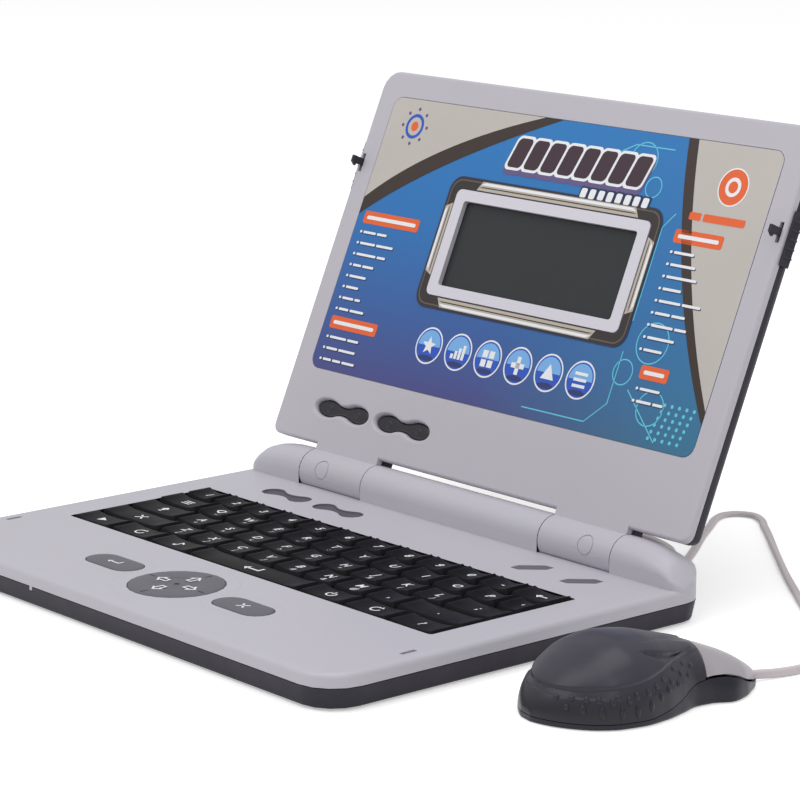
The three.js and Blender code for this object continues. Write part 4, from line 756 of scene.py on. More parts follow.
def splinePoints(points, steps):
    lengths = [0.0]
    for before, after in zip(points, points[1:]):
        lengths.append(lengths[-1] + math.sqrt((Vector(after) - Vector(before)).length))
    result = []
    for step in range(steps + 1):
        place = lengths[-1] * step / steps
        index = min(max(sum(1 for length in lengths if length <= place) - 1, 0), len(points) - 2)
        four = [min(max(index + shift, 0), len(points) - 1) for shift in (-1, 0, 1, 2)]
        times, stops = [lengths[number] for number in four], [Vector(points[number]) for number in four]
        span = times[2] - times[1]
        inSlope = (stops[2] - stops[0]) / (times[2] - times[0]) * span
        outSlope = (stops[3] - stops[1]) / (times[3] - times[1]) * span
        result.append(cubic(stops[1], stops[2], inSlope, outSlope, (place - times[1]) / span))
    return result


# Section of the lead: a flat oval with a shallow groove between its two cores
def cordSection():
    section = []
    for step in range(cord["sides"]):
        angle = step / cord["sides"] * math.tau
        wide = cord["width"] / 2 * math.copysign(abs(math.cos(angle)) ** cord["roundness"], math.cos(angle))
        dip = 1 - cord["groove"] * math.exp(-(wide / cord["grooveWidth"]) ** 2)
        section.append((wide, cord["thickness"] / 2 * math.sin(angle) * dip))
    return section


# How far the lead is turned on edge, in radians, at a share of its length
def cordTwist(share):
    onEdge = smoothStep(cord["turnFrom"], cord["turnTo"], share)
    onEdge += cord["tilt"] * math.exp(-((share - cord["tiltPlace"]) / cord["tiltWidth"]) ** 2)
    return math.radians(cord["turn"]) * min(onEdge, 1)


def makeCord():
    route, section = splinePoints(cord["route"], cord["steps"]), cordSection()
    bm = bmesh.new()
    rings, path = [], []
    for index, place in enumerate(route):
        before, after = route[max(index - 1, 0)], route[min(index + 1, len(route) - 1)]
        ahead = (after - before).normalized()
        side = ahead.cross(Vector((0, 0, 1))).normalized()
        up = side.cross(ahead).normalized()
        twist = cordTwist(index / (len(route) - 1))
        sideways = math.cos(twist) * side + math.sin(twist) * up
        upward = -math.sin(twist) * side + math.cos(twist) * up
        support = math.hypot(cord["width"] / 2 * math.sin(twist), cord["thickness"] / 2 * math.cos(twist))
        centre = Vector((place.x, place.y, tableHeight + support + place.z))
        path.append(centre * mm)
        rings.append([bm.verts.new(centre + sideways * x + upward * y) for x, y in section])
    joinRows(bm, rings, closed=True)
    bm.faces.new(rings[0][::-1])
    bm.faces.new(rings[-1])
    bmesh.ops.recalc_face_normals(bm, faces=bm.faces)
    piece = pieceFrom("cord_lead", meshFrom("cord_lead", bm), [cordSleeve], "base", ["mouse_cord"],
                      sharp=60)


makeCord()


# Floor, background and lamps
studio = {
    "floorTone": 0.86, "floorGlow": 0.42, "floorSize": 6000, "fill": 0.6,
    "lamps": [  # place, target, width, height, watts
        ((-0.7, -1.2, 1.6), (0.02, 0.03, 0.06), 1.3, 1.1, 7.2),
        ((1.5, -0.5, 1.5), (0.05, 0.03, 0.06), 1.1, 1.1, 4.0),
        ((0.1, 0.0, 1.9), (0.0, 0.0, 0.05), 1.8, 1.3, 12.0),
    ],
}


# Floor: matt, with a glow that only direct looks and reflections see
def addFloor():
    material, tree, shader = startMaterial("floorWhite", Roughness=0.9, Specular_IOR_Level=0.1,
                                           Base_Color=(studio["floorTone"],) * 3 + (1,))
    rays = addNode(tree, "ShaderNodeLightPath")
    mirrored = mathNode(tree, "MAXIMUM")
    seen = mathNode(tree, "MAXIMUM")
    glow = addNode(tree, "ShaderNodeEmission", {"Strength": studio["floorGlow"]})
    dark = addNode(tree, "ShaderNodeEmission", {"Strength": 0.0})
    pick = addNode(tree, "ShaderNodeMixShader")
    total = addNode(tree, "ShaderNodeAddShader")
    wire(tree, (rays, "Is Camera Ray", mirrored, 0), (rays, "Is Glossy Ray", mirrored, 1),
             (mirrored, 0, seen, 0), (rays, "Is Transmission Ray", seen, 1), (seen, 0, pick, 0),
             (dark, 0, pick, 1), (glow, 0, pick, 2), (shader, 0, total, 0), (pick, 0, total, 1),
             (total, 0, tree.nodes["Material Output"], "Surface"))
    bm = bmesh.new()
    bmesh.ops.create_grid(bm, x_segments=1, y_segments=1, size=studio["floorSize"])
    bmesh.ops.translate(bm, vec=(0, 0, tableHeight), verts=bm.verts)
    floor = linked("floor", meshFrom("floor", bm))
    floor.data.materials.append(material)


# Background: white to the camera, softer as a light
def addSky():
    sky = bpy.data.worlds.new("studio")
    bpy.context.scene.world = sky
    sky.use_nodes = True
    tree = sky.node_tree
    tree.nodes.clear()
    rays = addNode(tree, "ShaderNodeLightPath")
    seen = mathNode(tree, "MAXIMUM")
    white, fill = (addNode(tree, "ShaderNodeBackground", {"Color": (1, 1, 1, 1), "Strength": strength})
                   for strength in (1.0, studio["fill"]))
    pick = addNode(tree, "ShaderNodeMixShader")
    out = addNode(tree, "ShaderNodeOutputWorld")
    wire(tree, (rays, "Is Camera Ray", seen, 0), (rays, "Is Transmission Ray", seen, 1), (seen, 0, pick, 0),
             (fill, 0, pick, 1), (white, 0, pick, 2), (pick, 0, out, "Surface"))


def addLamps():
    for index, (place, target, width, height, watts) in enumerate(studio["lamps"]):
        data = bpy.data.lights.new("lamp" + str(index + 1), "AREA")
        data.shape = "RECTANGLE"
        data.size, data.size_y, data.energy = width, height, watts
        away = Vector(place) - Vector(target)
        lamp = linked(data.name, data)
        lamp.matrix_world = Matrix.Translation(place) @ away.to_track_quat("Z", "Y").to_matrix().to_4x4()


addFloor()
addSky()
addLamps()
print("cord, floor and lamps made")


# Rockers on the lid: two domed lobes with a dimple in each
rockers = {
    "length": 37.6, "lobe": 7.6, "waist": 3.7, "stretch": 2.18, "level": 29.5, "places": (-95.7, -52.2),
    "front": 3.9, "top": 1.9, "bottom": 0.5, "gap": 0.35, "cut": 1.85, "cutDepth": 3.2, "cutOverrun": 2,
    "dimple": 10.4,
}


# Figure eight with long lobes, moved outwards by grow
def longEight(grow, x):
    outline = [(rockers["stretch"] * px, py) for px, py in
               figureEight(rockers["length"] / rockers["stretch"], rockers["lobe"], rockers["waist"])]
    points = []
    for step, (px, py) in enumerate(outline):
        (ax, ay), (bx, by) = outline[step - 1], outline[(step + 1) % len(outline)]
        span = math.hypot(bx - ax, by - ay)
        points.append((px + grow * (by - ay) / span, py - grow * (bx - ax) / span))
    return moved(points, x, rockers["level"])


# Sheet on the lid, round the display's raised bezel
sheet = {
    "halfWidth": 127.6, "low": 47.2, "high": 184.3, "radius": 5.5, "front": 3.9, "thickness": 0.35,
    "lift": 0.045, "bezel": (-63.8, 93.0, 63.8, 144.7), "bezelRadius": 3, "bezelGap": 0.3, "bezelReach": 0.1,
    "bezelBack": 2.7,
}


# Space of the rockers' openings in the lid's front
def rockerSpace():
    bm = bmesh.new()
    levels = (rockers["front"] - rockers["cutDepth"], rockers["front"] + rockers["cutOverrun"])
    for x in rockers["places"]:
        stacked(bm, [(level, longEight(rockers["cut"], x)) for level in levels])
    return meshFrom("rockerSpace", bm, lidPlace)


# Rounder ends of the hinge ridge: the crest falls further than the CAD's towards the case's sides
ridgeEnd = {"start": 134, "full": 143.5, "drop": 4.4, "floor": 14.55, "front": 80, "slope": 136, "side": 145,
            "crest": 6.6, "least": 0.02}


def rounderEnd(place):
    x, floor = abs(place.x), ridgeEnd["floor"]
    if x < ridgeEnd["start"] or place.y < ridgeEnd["front"] or place.z < floor:
        return place
    past = max(x - ridgeEnd["slope"], 0) / (ridgeEnd["side"] - ridgeEnd["slope"])
    crest = hingePlace.z / mm + ridgeEnd["crest"] * math.sqrt(max(1 - past ** 2, 0)) - floor
    fall = ridgeEnd["drop"] * smoothStep(ridgeEnd["start"], ridgeEnd["full"], x)
    share = max(1 - fall / crest, ridgeEnd["least"])
    return Vector((place.x, place.y, floor + (place.z - floor) * share))


# Case, lid shells and small parts that keep their CAD shape, with rounded edges
shells = {  # node: (edge radius mm, material, body, slot)
    "base_lower_case": (0.35, darkShell, "base", "dark_shell"),
    "base_upper_case": (0.4, deckShell, "base", "pale_shell"),
    "lid_front_panel": (0.4, paleShell, "lid", "pale_shell"),
    "lid_back_cover": (0.35, darkShell, "lid", "dark_shell"),
    "latch_slider_left": (0.2, darkShell, "latch_slider_left", "dark_shell"),
    "latch_slider_right": (0.2, darkShell, "latch_slider_right", "dark_shell"),
    "deck_bar_1": (0.25, greyButton, "base", "grey_button"),
    "deck_bar_2": (0.25, greyButton, "base", "grey_button"),
    "battery_door": (0.25, darkShell, "base", "dark_shell"),
    "battery_door_screw": (0.15, steelPlain, "base", "steel"),
    "cord_gland": (0.25, cordSleeve, "base", "cord"),
    "mouse_ball_ring": (0.25, mouseDark, "base", "mouse_shell"),
}
for index in range(1, 5):
    shells["rubber_foot_" + str(index)] = (0.5, rubberMatt, "base", "rubber")
well = {"halfWidth": 125.6, "front": -35, "back": 46.4, "bottom": 9, "top": 14.3}
hinge = {"inner": 60, "outer": 105.5, "reach": 10.6}


def inWell(x, y, level):
    inPlan = abs(x) < well["halfWidth"] and well["front"] < y < well["back"]
    return inPlan and well["bottom"] < level < well["top"]


def inTrough(x, y, level):
    away = math.hypot(y - hingePlace.y / mm, level - hingePlace.z / mm)
    return hinge["inner"] < abs(x) < hinge["outer"] and away < hinge["reach"]


def onBezel(x, y, level):
    (left, bottom, right, top), reach = sheet["bezel"], sheet["bezelReach"]
    inside = left - reach < x < right + reach and bottom - reach < y < top + reach
    return inside and level > sheet["bezelBack"]


# A second finish on the faces whose middle passes the test, in the place's frame; whole asks every corner too
def paintWhere(piece, test, material, place=casePlace, whole=False):
    piece.data.materials.append(material)
    back = place.inverted()
    for face in piece.data.polygons:
        corners = [piece.data.vertices[index].co for index in face.vertices] if whole else []
        if all(test(*(back @ point)) for point in [face.center] + corners):
            face.material_index = len(piece.data.materials) - 1


for node, (width, material, body, slot) in shells.items():
    if node == "base_upper_case":
        piece = refined(node, width, material, body, shaper=rounderEnd)
        paintWhere(piece, inWell, keyPlastic)
        # painted shade: the trough faces round the hinge barrels are made near black
        paintWhere(piece, inTrough, paintedGapShade)
    elif node == "lid_front_panel":
        piece = refined(node, width, material, body, cutter=rockerSpace())
        paintWhere(piece, onBezel, bezelShell, lidPlace, whole=True)
    else:
        refined(node, width, material, body)
print("shells rounded")

# Pieces kept as CAD nodes, each with its own finish
kept = {
    "main_circuit_board": boardGreen, "display_board": boardGreen, "key_contact_mat": matRubber,
    "speaker": steelPlain, "hinge_pin_left": steelPlain, "hinge_pin_right": steelPlain,
    "arrow_pad_pivot": darkShell, "battery_cell_1": cellSleeve, "battery_cell_2": cellSleeve,
    "battery_cell_3": cellSleeve, "display_panel": displayGlass,
}
for node, material in kept.items():
    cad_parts[node].data.materials.clear()
    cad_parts[node].data.materials.append(material)


# Keyboard: dished caps on the CAD stems, each with its legend
keyboard = {
    "left": -125, "back": 45.7, "rowPitch": 16, "rowShare": 12.25, "gap": 0.7, "bottom": 11.4, "top": 15.2,
    "sideTaper": 1.7, "frontTaper": 1.9, "backTaper": 1.0, "dish": 1.0, "dishReach": 9.0,
    "edge": 0.4, "edgeAngle": 40, "stemLap": 0.05, "leastCells": 10, "endRise": (0.65, 0.65, 0, 0, 0),
}


def likeKeys(name, signs):
    return [(name, 1, sign) for sign in signs]


# Rows from the back: node, width in pitches and sign of each key
frontKey = 1.415
keyRows = [
    [*likeKeys("number_key_comb", "1234567890-"), ("key_backspace", 1.25, "back")],
    [("key_mode", 1.45, "bars"), *likeKeys("upper_letter_key_comb", "QWERTYUIOP"), ("key_accent", 0.8, "'")],
    [("key_capslock", 1.72, "shift"), *likeKeys("middle_letter_key_comb", "ASDFGHJKL"),
     ("key_quote", 1.53, ";")],
    [("key_all_clear", 2.18, "cross"), *likeKeys("lower_letter_key_comb", "ZXCVBNM,"),
     ("key_full_stop", 2.07, ".")],
    [("key_play", frontKey, "play"), ("key_repeat_left", frontKey, "again"), ("key_music", frontKey, "note"),
     ("key_enter_bar", 3.76, "enter"), ("key_off", frontKey, "power"),
     ("key_repeat_right", frontKey, "again"), ("key_help", frontKey, "?")],
]

# Small second signs of the letters, and sizes and places of all signs on their caps
smallSigns = dict(zip("ASDFGHJKLZXCVBNMQWERT", "+=<>/*%()[]{}#&@~^!_:"))
legend = {
    "lift": 0.05, "signSize": 5.8, "enterSize": 7.0, "signRise": 0.3, "letterSize": 5.6, "letterBold": 0.022,
    "letterSide": -0.4, "letterRise": 0.8, "pairRise": 1.9, "smallSize": 3.8, "smallBold": 0.012,
    "smallSide": 0.8, "smallRise": -3.0,
}

# Signs drawn as outlines, about one unit high
signs = {
    "back": [[(-0.55, 0), (-0.15, 0.36), (-0.15, -0.36)], fourCorners(-0.2, -0.09, 0.6, 0.09)],
    "bars": [fourCorners(-0.5, level - 0.07, 0.5, level + 0.07) for level in (-0.3, 0, 0.3)],
    "shift": [[(0, 0.55), (-0.42, 0.1), (-0.17, 0.1), (-0.17, -0.25), (0.17, -0.25), (0.17, 0.1),
               (0.42, 0.1)],
              fourCorners(-0.17, -0.5, 0.17, -0.36)],
    "cross": [band([(-0.4, -0.4), (0.4, 0.4)], 0.17), band([(-0.4, 0.4), (0.4, -0.4)], 0.17)],
    "play": [[(-0.32, -0.42), (0.45, 0), (-0.32, 0.42)]],
    "again": [band(arcPoints(0.42, 60, 360), 0.15), [(0.12, 0.36), (0.2, 0.66), (0.44, 0.3)]],
    "note": [disc(-0.22, -0.3, 0.2, 14, 0.8), fourCorners(-0.1, -0.3, 0.02, 0.5),
             [(0.02, 0.5), (0.02, 0.26), (0.36, 0.06), (0.36, 0.24)]],
    "enter": [[(-0.75, -0.1), (-0.35, 0.22), (-0.35, -0.42)], fourCorners(-0.4, -0.18, 0.7, -0.02),
              fourCorners(0.54, -0.02, 0.7, 0.42)],
    "power": [band(arcPoints(0.4, 125, 415), 0.14), fourCorners(-0.07, 0.02, 0.07, 0.56)],
}


# Top of a cap: level in the middle, curved up towards its left and right ends
def capHeight(x, halfTop, rise):
    reach = min(keyboard["dishReach"], halfTop)
    share = max(abs(x) - (halfTop - reach), 0) / reach
    return keyboard["top"] - keyboard["dish"] + (keyboard["dish"] + rise) * share * share


def halfTopOf(width):
    return (width - keyboard["gap"]) / 2 - keyboard["sideTaper"]


def addCap(bm, x, y, width, rise):
    halfWidth = (width - keyboard["gap"]) / 2
    halfDepth = (keyboard["rowPitch"] - keyboard["gap"]) / 2
    halfTop = halfTopOf(width)
    front, back = keyboard["frontTaper"] - halfDepth, halfDepth - keyboard["backTaper"]
    cells = max(keyboard["leastCells"], int(halfTop))
    places = [halfTop * (2 * step / cells - 1) for step in range(cells + 1)]
    grid = [[bm.verts.new((x + place, y + level, capHeight(place, halfTop, rise))) for place in places]
            for level in (front, (front + back) / 2, back)]
    joinRows(bm, grid)
    rim = grid[0] + [row[-1] for row in grid[1:-1]] + grid[-1][::-1] + [row[0] for row in grid[-2:0:-1]]
    foot = []
    for vert in rim:
        shareX = (vert.co.x - x) / halfTop
        shareY = (vert.co.y - y - front) / (back - front)
        foot.append(bm.verts.new((x + shareX * halfWidth, y + (2 * shareY - 1) * halfDepth,
                                  keyboard["bottom"])))
    for step in range(len(rim)):
        following = (step + 1) % len(rim)
        bm.faces.new((rim[step], foot[step], foot[following], rim[following]))
    bm.faces.new(foot)


def addLegend(bm, name, x, y, width, rise, sign):
    def height(px, py):
        return capHeight(px - x, halfTopOf(width), rise)

    lift = legend["lift"]
    if sign in signs:
        size = legend["enterSize"] if name == "key_enter_bar" else legend["signSize"]
        for shape in signs[sign]:
            addFlat(bm, moved(shape, x, y + legend["signRise"], 0, size), lift, height=height)
        return
    small = smallSigns.get(sign)
    above = y + legend["pairRise" if small else "letterRise"]
    addGlyph(bm, sign, x + legend["letterSide"], above, legend["letterSize"], lift, height,
             legend["letterBold"])
    if small:
        addGlyph(bm, small, x + legend["smallSide"], y + legend["smallRise"], legend["smallSize"], lift,
                 height, legend["smallBold"])


# Each node's keys: middle, width, rise of the ends and sign
def keysByNode():
    pitch = -2 * keyboard["left"] / keyboard["rowShare"]
    keys = {}
    for index, row in enumerate(keyRows):
        y = keyboard["back"] - (index + 0.5) * keyboard["rowPitch"]
        left = keyboard["left"]
        for name, share, sign in row:
            width = share * pitch
            keys.setdefault(name, []).append((left + width / 2, y, width, keyboard["endRise"][index], sign))
            left += width
    return keys


def makeKeys():
    for name, keys in keysByNode().items():
        cap, signsAbove = bmesh.new(), bmesh.new()
        addCap(cap, *keys[0][:4])
        bmesh.ops.recalc_face_normals(cap, faces=cap.faces)
        caps = rounded(meshFrom(name + "_caps", cap), keyboard["edge"], keyboard["edgeAngle"])
        caps = grown(caps, rowTree, {"Count": len(keys), "Pitch": keys[0][2] * mm, "Finish": keyPlastic})
        stems = meshFrom("stems", lowerPart(name, keyboard["bottom"] + keyboard["stemLap"]), Matrix())
        for key in keys:
            addLegend(signsAbove, name, *key)
        mesh = joined(name + "_cap", (caps, 0), (stems, 0), (meshFrom("legends", signsAbove), 1))
        pieceFrom(name + "_cap", mesh, [keyPlastic, whiteInk], name, [name], sharp=45)


makeKeys()
print("keyboard made")


# Stadium buttons and the arrow pad
buttons = {
    "top": 15.0, "bottom": 12.6, "offset": 45, "row": -66.3, "length": 32.5, "width": 15, "edge": 0.9,
    "crown": 0.25, "edgeSteps": 4, "signSize": 5.4, "signLift": 0.04,
    "crownPlaces": ((0.12, 1.4), (0.03, 3.4), (0, 5.2)),  # how far under the top, how far in from the edge
}
pad = {
    "radius": 20.75, "row": -66.8, "bottom": 12.4, "rim": 14.75, "hubRadius": 9.6, "steps": 64,
    "arrowPlace": 9.3, "arrowSize": 7.4, "arrowLift": 0.2,
    "slotInner": 14.9, "slotOuter": 18.9, "slotWidth": 0.45, "slotLift": 0.17,
}


# The plunger under a cap, in millimetres
def plungerOf(name, level):
    bm = lowerPart(name, level)
    bmesh.ops.transform(bm, matrix=Matrix.Scale(1 / mm, 4), verts=bm.verts)
    return bm


def makeStadiumButton(name, side, sign):
    bm = plungerOf(name, buttons["bottom"])
    top, edge, steps = buttons["top"], buttons["edge"], buttons["edgeSteps"]
    shoulder = top - buttons["crown"]
    layers = [(buttons["bottom"], 0), (shoulder - edge, 0)]
    layers += [(shoulder - edge * (1 - math.sin(angle)), -edge * (1 - math.cos(angle)))
               for angle in (math.pi / 2 * step / steps for step in range(1, steps + 1))]
    layers += [(top - drop, -edge - inset) for drop, inset in buttons["crownPlaces"]]
    x, y = side * buttons["offset"], buttons["row"]
    stacked(bm, [(level, moved(stadium(buttons["length"], buttons["width"], grow), x, y))
                 for level, grow in layers])
    for shape in signs[sign]:
        addFlat(bm, moved(shape, x, y, 0, buttons["signSize"]), top + buttons["signLift"], 1)
    pieceFrom(name + "_cap", meshFrom(name + "_cap", bm), [greyButton, whiteInk], name, [name])


# Arrow as two outlines, one inside the other
arrowOuter = [(0.52, 0), (0.04, 0.48), (0.04, 0.24), (-0.46, 0.24), (-0.46, -0.24), (0.04, -0.24),
              (0.04, -0.48)]
arrowInner = [(0.33, 0), (0.15, 0.19), (0.15, 0.12), (-0.34, 0.12), (-0.34, -0.12), (0.15, -0.12),
              (0.15, -0.19)]


def makePad():
    bm = plungerOf("arrow_pad", pad["bottom"])
    rim, radius, hub, row = pad["rim"], pad["radius"], pad["hubRadius"], pad["row"]
    profile = [(12.45, radius - 0.3), (12.6, radius), (rim - 0.55, radius), (rim - 0.3, radius - 0.1),
               (rim - 0.12, radius - 0.3), (rim, radius - 0.65), (rim + 0.1, radius - 3.5),
               (rim + 0.16, hub + 1.0), (rim + 0.1, hub + 0.5), (rim - 0.05, hub), (rim - 0.1, hub - 1.2),
               (rim - 0.02, 3.5), (rim, 1.0)]
    stacked(bm, [(level, disc(0, row, reach, pad["steps"])) for level, reach in profile])
    for face in bm.faces:
        face.material_index = 0
    for quarter in range(4):
        turn = quarter * math.pi / 2
        x, y = pad["arrowPlace"] * math.cos(turn), pad["arrowPlace"] * math.sin(turn) + row
        outer, inner = (moved(points, x, y, turn, pad["arrowSize"])
                        for points in (arrowOuter, arrowInner[::-1]))
        addFlat(bm, outer, rim + pad["arrowLift"], 1, holes=[inner])
        line = band([(pad["slotInner"], 0), (pad["slotOuter"], 0)], pad["slotWidth"])
        addFlat(bm, moved(line, 0, row, turn), rim + pad["slotLift"], 2)
    mesh = meshFrom("arrow_pad_cap", bm)
    pieceFrom("arrow_pad_cap", mesh, [greyButton, whiteInk, keyPlastic], "arrow_pad",
              ["arrow_pad"])


makeStadiumButton("button_enter", -1, "enter")
makeStadiumButton("button_escape", 1, "cross")
makePad()
print("buttons and pad made")


# Inlays on the deck: shallow grey dishes that receive the rockers when the lid is shut
inlays = {"length": 30.4, "lobe": 10.8, "waist": 4.5, "row": 64.7, "places": (-90.6, -53.1), "rim": 14.55,
          "depth": 0.75, "bottom": 13.6}


def trianglesForCaps(bm):
    bmesh.ops.triangulate(bm, faces=[face for face in bm.faces if len(face.verts) > 4])


def makeInlay(index, x):
    name = "deck_inlay_" + str(index)
    bm = bmesh.new()
    rim, floor = inlays["rim"], inlays["rim"] - inlays["depth"]
    layers = [(inlays["bottom"], -0.4), (inlays["bottom"], 0), (rim - 0.12, 0), (rim, -0.12), (rim, -0.3),
              (rim - 0.15, -0.45), (floor + 0.15, -0.6), (floor, -1.0)]
    shape = (inlays["length"], inlays["lobe"], inlays["waist"])
    stacked(bm, [(level, moved(figureEight(*shape, grow), x, inlays["row"])) for level, grow in layers])
    trianglesForCaps(bm)
    pieceFrom(name + "_dish", meshFrom(name + "_dish", bm), [inlayGrey], "base", [name])


for number, place in enumerate(inlays["places"], 1):
    makeInlay(number, place)


# Section of the opening's soft lip: growth of its outline, and level over the panel's front
def lipSection(gap):
    return [(3, 0.04), (1.7, 0.04), (1.45, 0), (1.15, -0.2), (0.85, -0.55), (0.55, -1.1), (gap, -1.7),
            (gap, -2.2), (gap, -3), (1.6, -3), (1.6, -0.5), (3, -0.1), (3, 0.04)]


# A ring that laps over the panel's front and slopes down to the rocker
def makeLip(index, x):
    bm = bmesh.new()
    stacked(bm, [(rockers["front"] + rise, longEight(grow, x)) for grow, rise in lipSection(rockers["gap"])],
            close=False)
    bmesh.ops.remove_doubles(bm, verts=bm.verts[:], dist=0.001)
    bmesh.ops.recalc_face_normals(bm, faces=bm.faces[:])
    name = "rocker_lip_" + str(index)
    pieceFrom(name, meshFrom(name, bm, lidPlace), [paleShell], "lid")


# Rocker and the rounded dimples of its two lobes: rise over its top, with growth or radius
rockerSection = [(-0.4, 0), (-0.15, -0.12), (0, -0.4), (0.15, -0.9), (0.22, -1.4)]
dimpleSection = [(0.1, 2), (0.36, 1.6), (0.42, 1), (0.3, 0.45)]


def makeRocker(index, x):
    name = "lid_rocker_" + str(index)
    bm = bmesh.new()
    top = rockers["top"]
    layers = [(rockers["bottom"], 0)] + [(top + rise, grow) for rise, grow in rockerSection]
    stacked(bm, [(level, longEight(grow, x)) for level, grow in layers])
    trianglesForCaps(bm)
    for side in (-1, 1):
        stacked(bm, [(top + rise, disc(x + side * rockers["dimple"], rockers["level"], radius, 24))
                     for rise, radius in dimpleSection])
    mesh = meshFrom(name + "_cap", bm, lidPlace)
    pieceFrom(name + "_cap", mesh, [rockerPlastic], name, [name])


for number, place in enumerate(rockers["places"], 1):
    makeRocker(number, place)
    makeLip(number, place)


# Printed sheet: our own plain design of bands, pills, bars and round badges
inkTones = {
    "beigeInk": (192, 186, 180), "brownInk": (52, 38, 32), "orangeInk": (232, 98, 42),
    "cyanInk": (96, 200, 222), "paleInk": (236, 238, 242), "shadowInk": (30, 44, 84), "plumInk": (58, 36, 48),
    "violetInk": (98, 84, 132), "badgeInk": (34, 84, 190), "badgeLight": (120, 176, 232),
    "frameInk": (46, 38, 36), "frameLight": (188, 178, 166), "frameGlow": (98, 84, 76),
    "navyInk": (38, 52, 110),
}
inks = {name: plastic(name, colour, gloss=0.32, mottle=0.08, grain=2600.0, depth=0.02)
        for name, colour in inkTones.items()}
inkOrder = list(inks)


def addInk(bm, ink, outline, layer=1, holes=()):
    addFlat(bm, outline, sheet["front"] + sheet["lift"] * layer, inkOrder.index(ink) + 1, holes)


def curveThrough(start, bend, end, steps=20):
    points = []
    for step in range(steps + 1):
        share = step / steps
        near, middle, far = (1 - share) ** 2, 2 * share * (1 - share), share * share
        points.append(tuple(near * start[axis] + middle * bend[axis] + far * end[axis] for axis in (0, 1)))
    return points


# A list: a pill with a plain light bar, and rows of short bars under it
lists = {
    "pill": 3.1, "pillRadius": 1.2, "barStart": 2.2, "barEnd": 2.4, "bar": 0.9, "barRadius": 0.8,
    "firstRow": 7.4, "rowPitch": 5.55, "rowStart": 0.5, "word": 0.6, "wordRadius": 0.45, "wordGap": 1.0,
    "dot": 1.5, "shadow": 0.4,
    "all": (  # left end, level of the pill, its width, word lengths of each row
        (-123, 123.5, 40, [(9, 7), (11, 12), (14, 6), (6, 8), (12,), (9,), (8, 4), (7, 10)]),
        (-123, 70.5, 34, [(12, 8), (8, 12), (6, 6, 9)]),
        (79, 140.5, 29, [(12,), (15,), (18,), (11,), (13, 11), (9, 8), (13, 7), (16,), (11,)]),
        (84, 79, 17, [(12,), (9, 6)]),
    ),
}


def addList(bm, x, y, width, rows):
    pill = roundedRectangle(0, -lists["pill"], width, lists["pill"], lists["pillRadius"])
    bar = roundedRectangle(lists["barStart"], -lists["bar"], width - lists["barEnd"], lists["bar"],
                           lists["barRadius"])
    addInk(bm, "orangeInk", moved(pill, x, y), 2)
    addInk(bm, "paleInk", moved(bar, x, y), 3)
    for index, words in enumerate(rows):
        level = y - lists["firstRow"] - index * lists["rowPitch"]
        for ink, shift, layer in (("shadowInk", -lists["shadow"], 3), ("paleInk", 0, 4)):
            place = x + lists["rowStart"]
            for word in (lists["dot"], *words):
                shape = roundedRectangle(0, -lists["word"], word, lists["word"], lists["wordRadius"], 3)
                addInk(bm, ink, moved(shape, place - shift, level + shift), layer)
                place += word + lists["wordGap"]


# Round badges in a row, each with a plain shape
badges = {"places": (-50.6, -30.3, -10.1, 10.1, 30.3, 50.6), "row": 69.4, "border": 8.9, "disc": 8.1,
          "light": 7.4, "steps": 40, "star": (4.6, 2.0), "shade": (5.2, 1.3, 5.9)}


def starShape(count, radii):
    corners = [(radii[step % 2], step * math.pi / count) for step in range(2 * count)]
    return [(radius * math.sin(turn), radius * math.cos(turn)) for radius, turn in corners]


badgeShapes = {
    "star": [starShape(5, badges["star"])],
    "steps": [fourCorners(-4.4 + 2.4 * step, -3.4, -2.6 + 2.4 * step, -1.2 + 1.6 * step)
              for step in range(4)],
    "squares": [fourCorners(x - 1.7, y - 1.7, x + 1.7, y + 1.7) for x in (-2.2, 2.2) for y in (-2.2, 2.2)],
    "plus": [fourCorners(-4.2, -1.2, 4.2, 1.2), fourCorners(-1.2, -4.2, 1.2, 4.2)],
    "triangle": [[(-4.2, -3), (4.2, -3), (0, 4.2)]],
    "bars": [fourCorners(-4, level - 0.7, 4, level + 0.7) for level in (-2.8, 0, 2.8)],
}


def addBadge(bm, x, y, shapes):
    wide, high, drop = badges["shade"]
    steps = badges["steps"]
    addInk(bm, "paleInk", disc(x, y, badges["border"], steps), 2)
    addInk(bm, "badgeInk", disc(x, y, badges["disc"], steps), 3)
    addInk(bm, "badgeLight", [(x + px, y + py) for px, py in disc(0, 0, badges["light"], steps) if py > -0.2],
           4)
    addInk(bm, "navyInk", disc(x, y - drop, wide, 20, high / wide), 4)
    for shape in shapes:
        addInk(bm, "paleInk", moved(shape, x, y), 5)


# The film itself: front, edges and back
def addFilm(bm, outline, hole):
    front, back = sheet["front"], sheet["front"] - sheet["thickness"]
    addFlat(bm, outline, front, 0, [hole[::-1]])
    for ring, turnAround in ((outline, False), (hole, True)):
        upper, lower = ([bm.verts.new((x, y, level)) for x, y in ring] for level in (front, back))
        for step in range(len(ring)):
            following = (step + 1) % len(ring)
            corners = (upper[step], lower[step], lower[following], upper[following])
            bm.faces.new(corners[::-1] if turnAround else corners)
    addFlat(bm, outline, back, 0, [hole[::-1]], down=True)


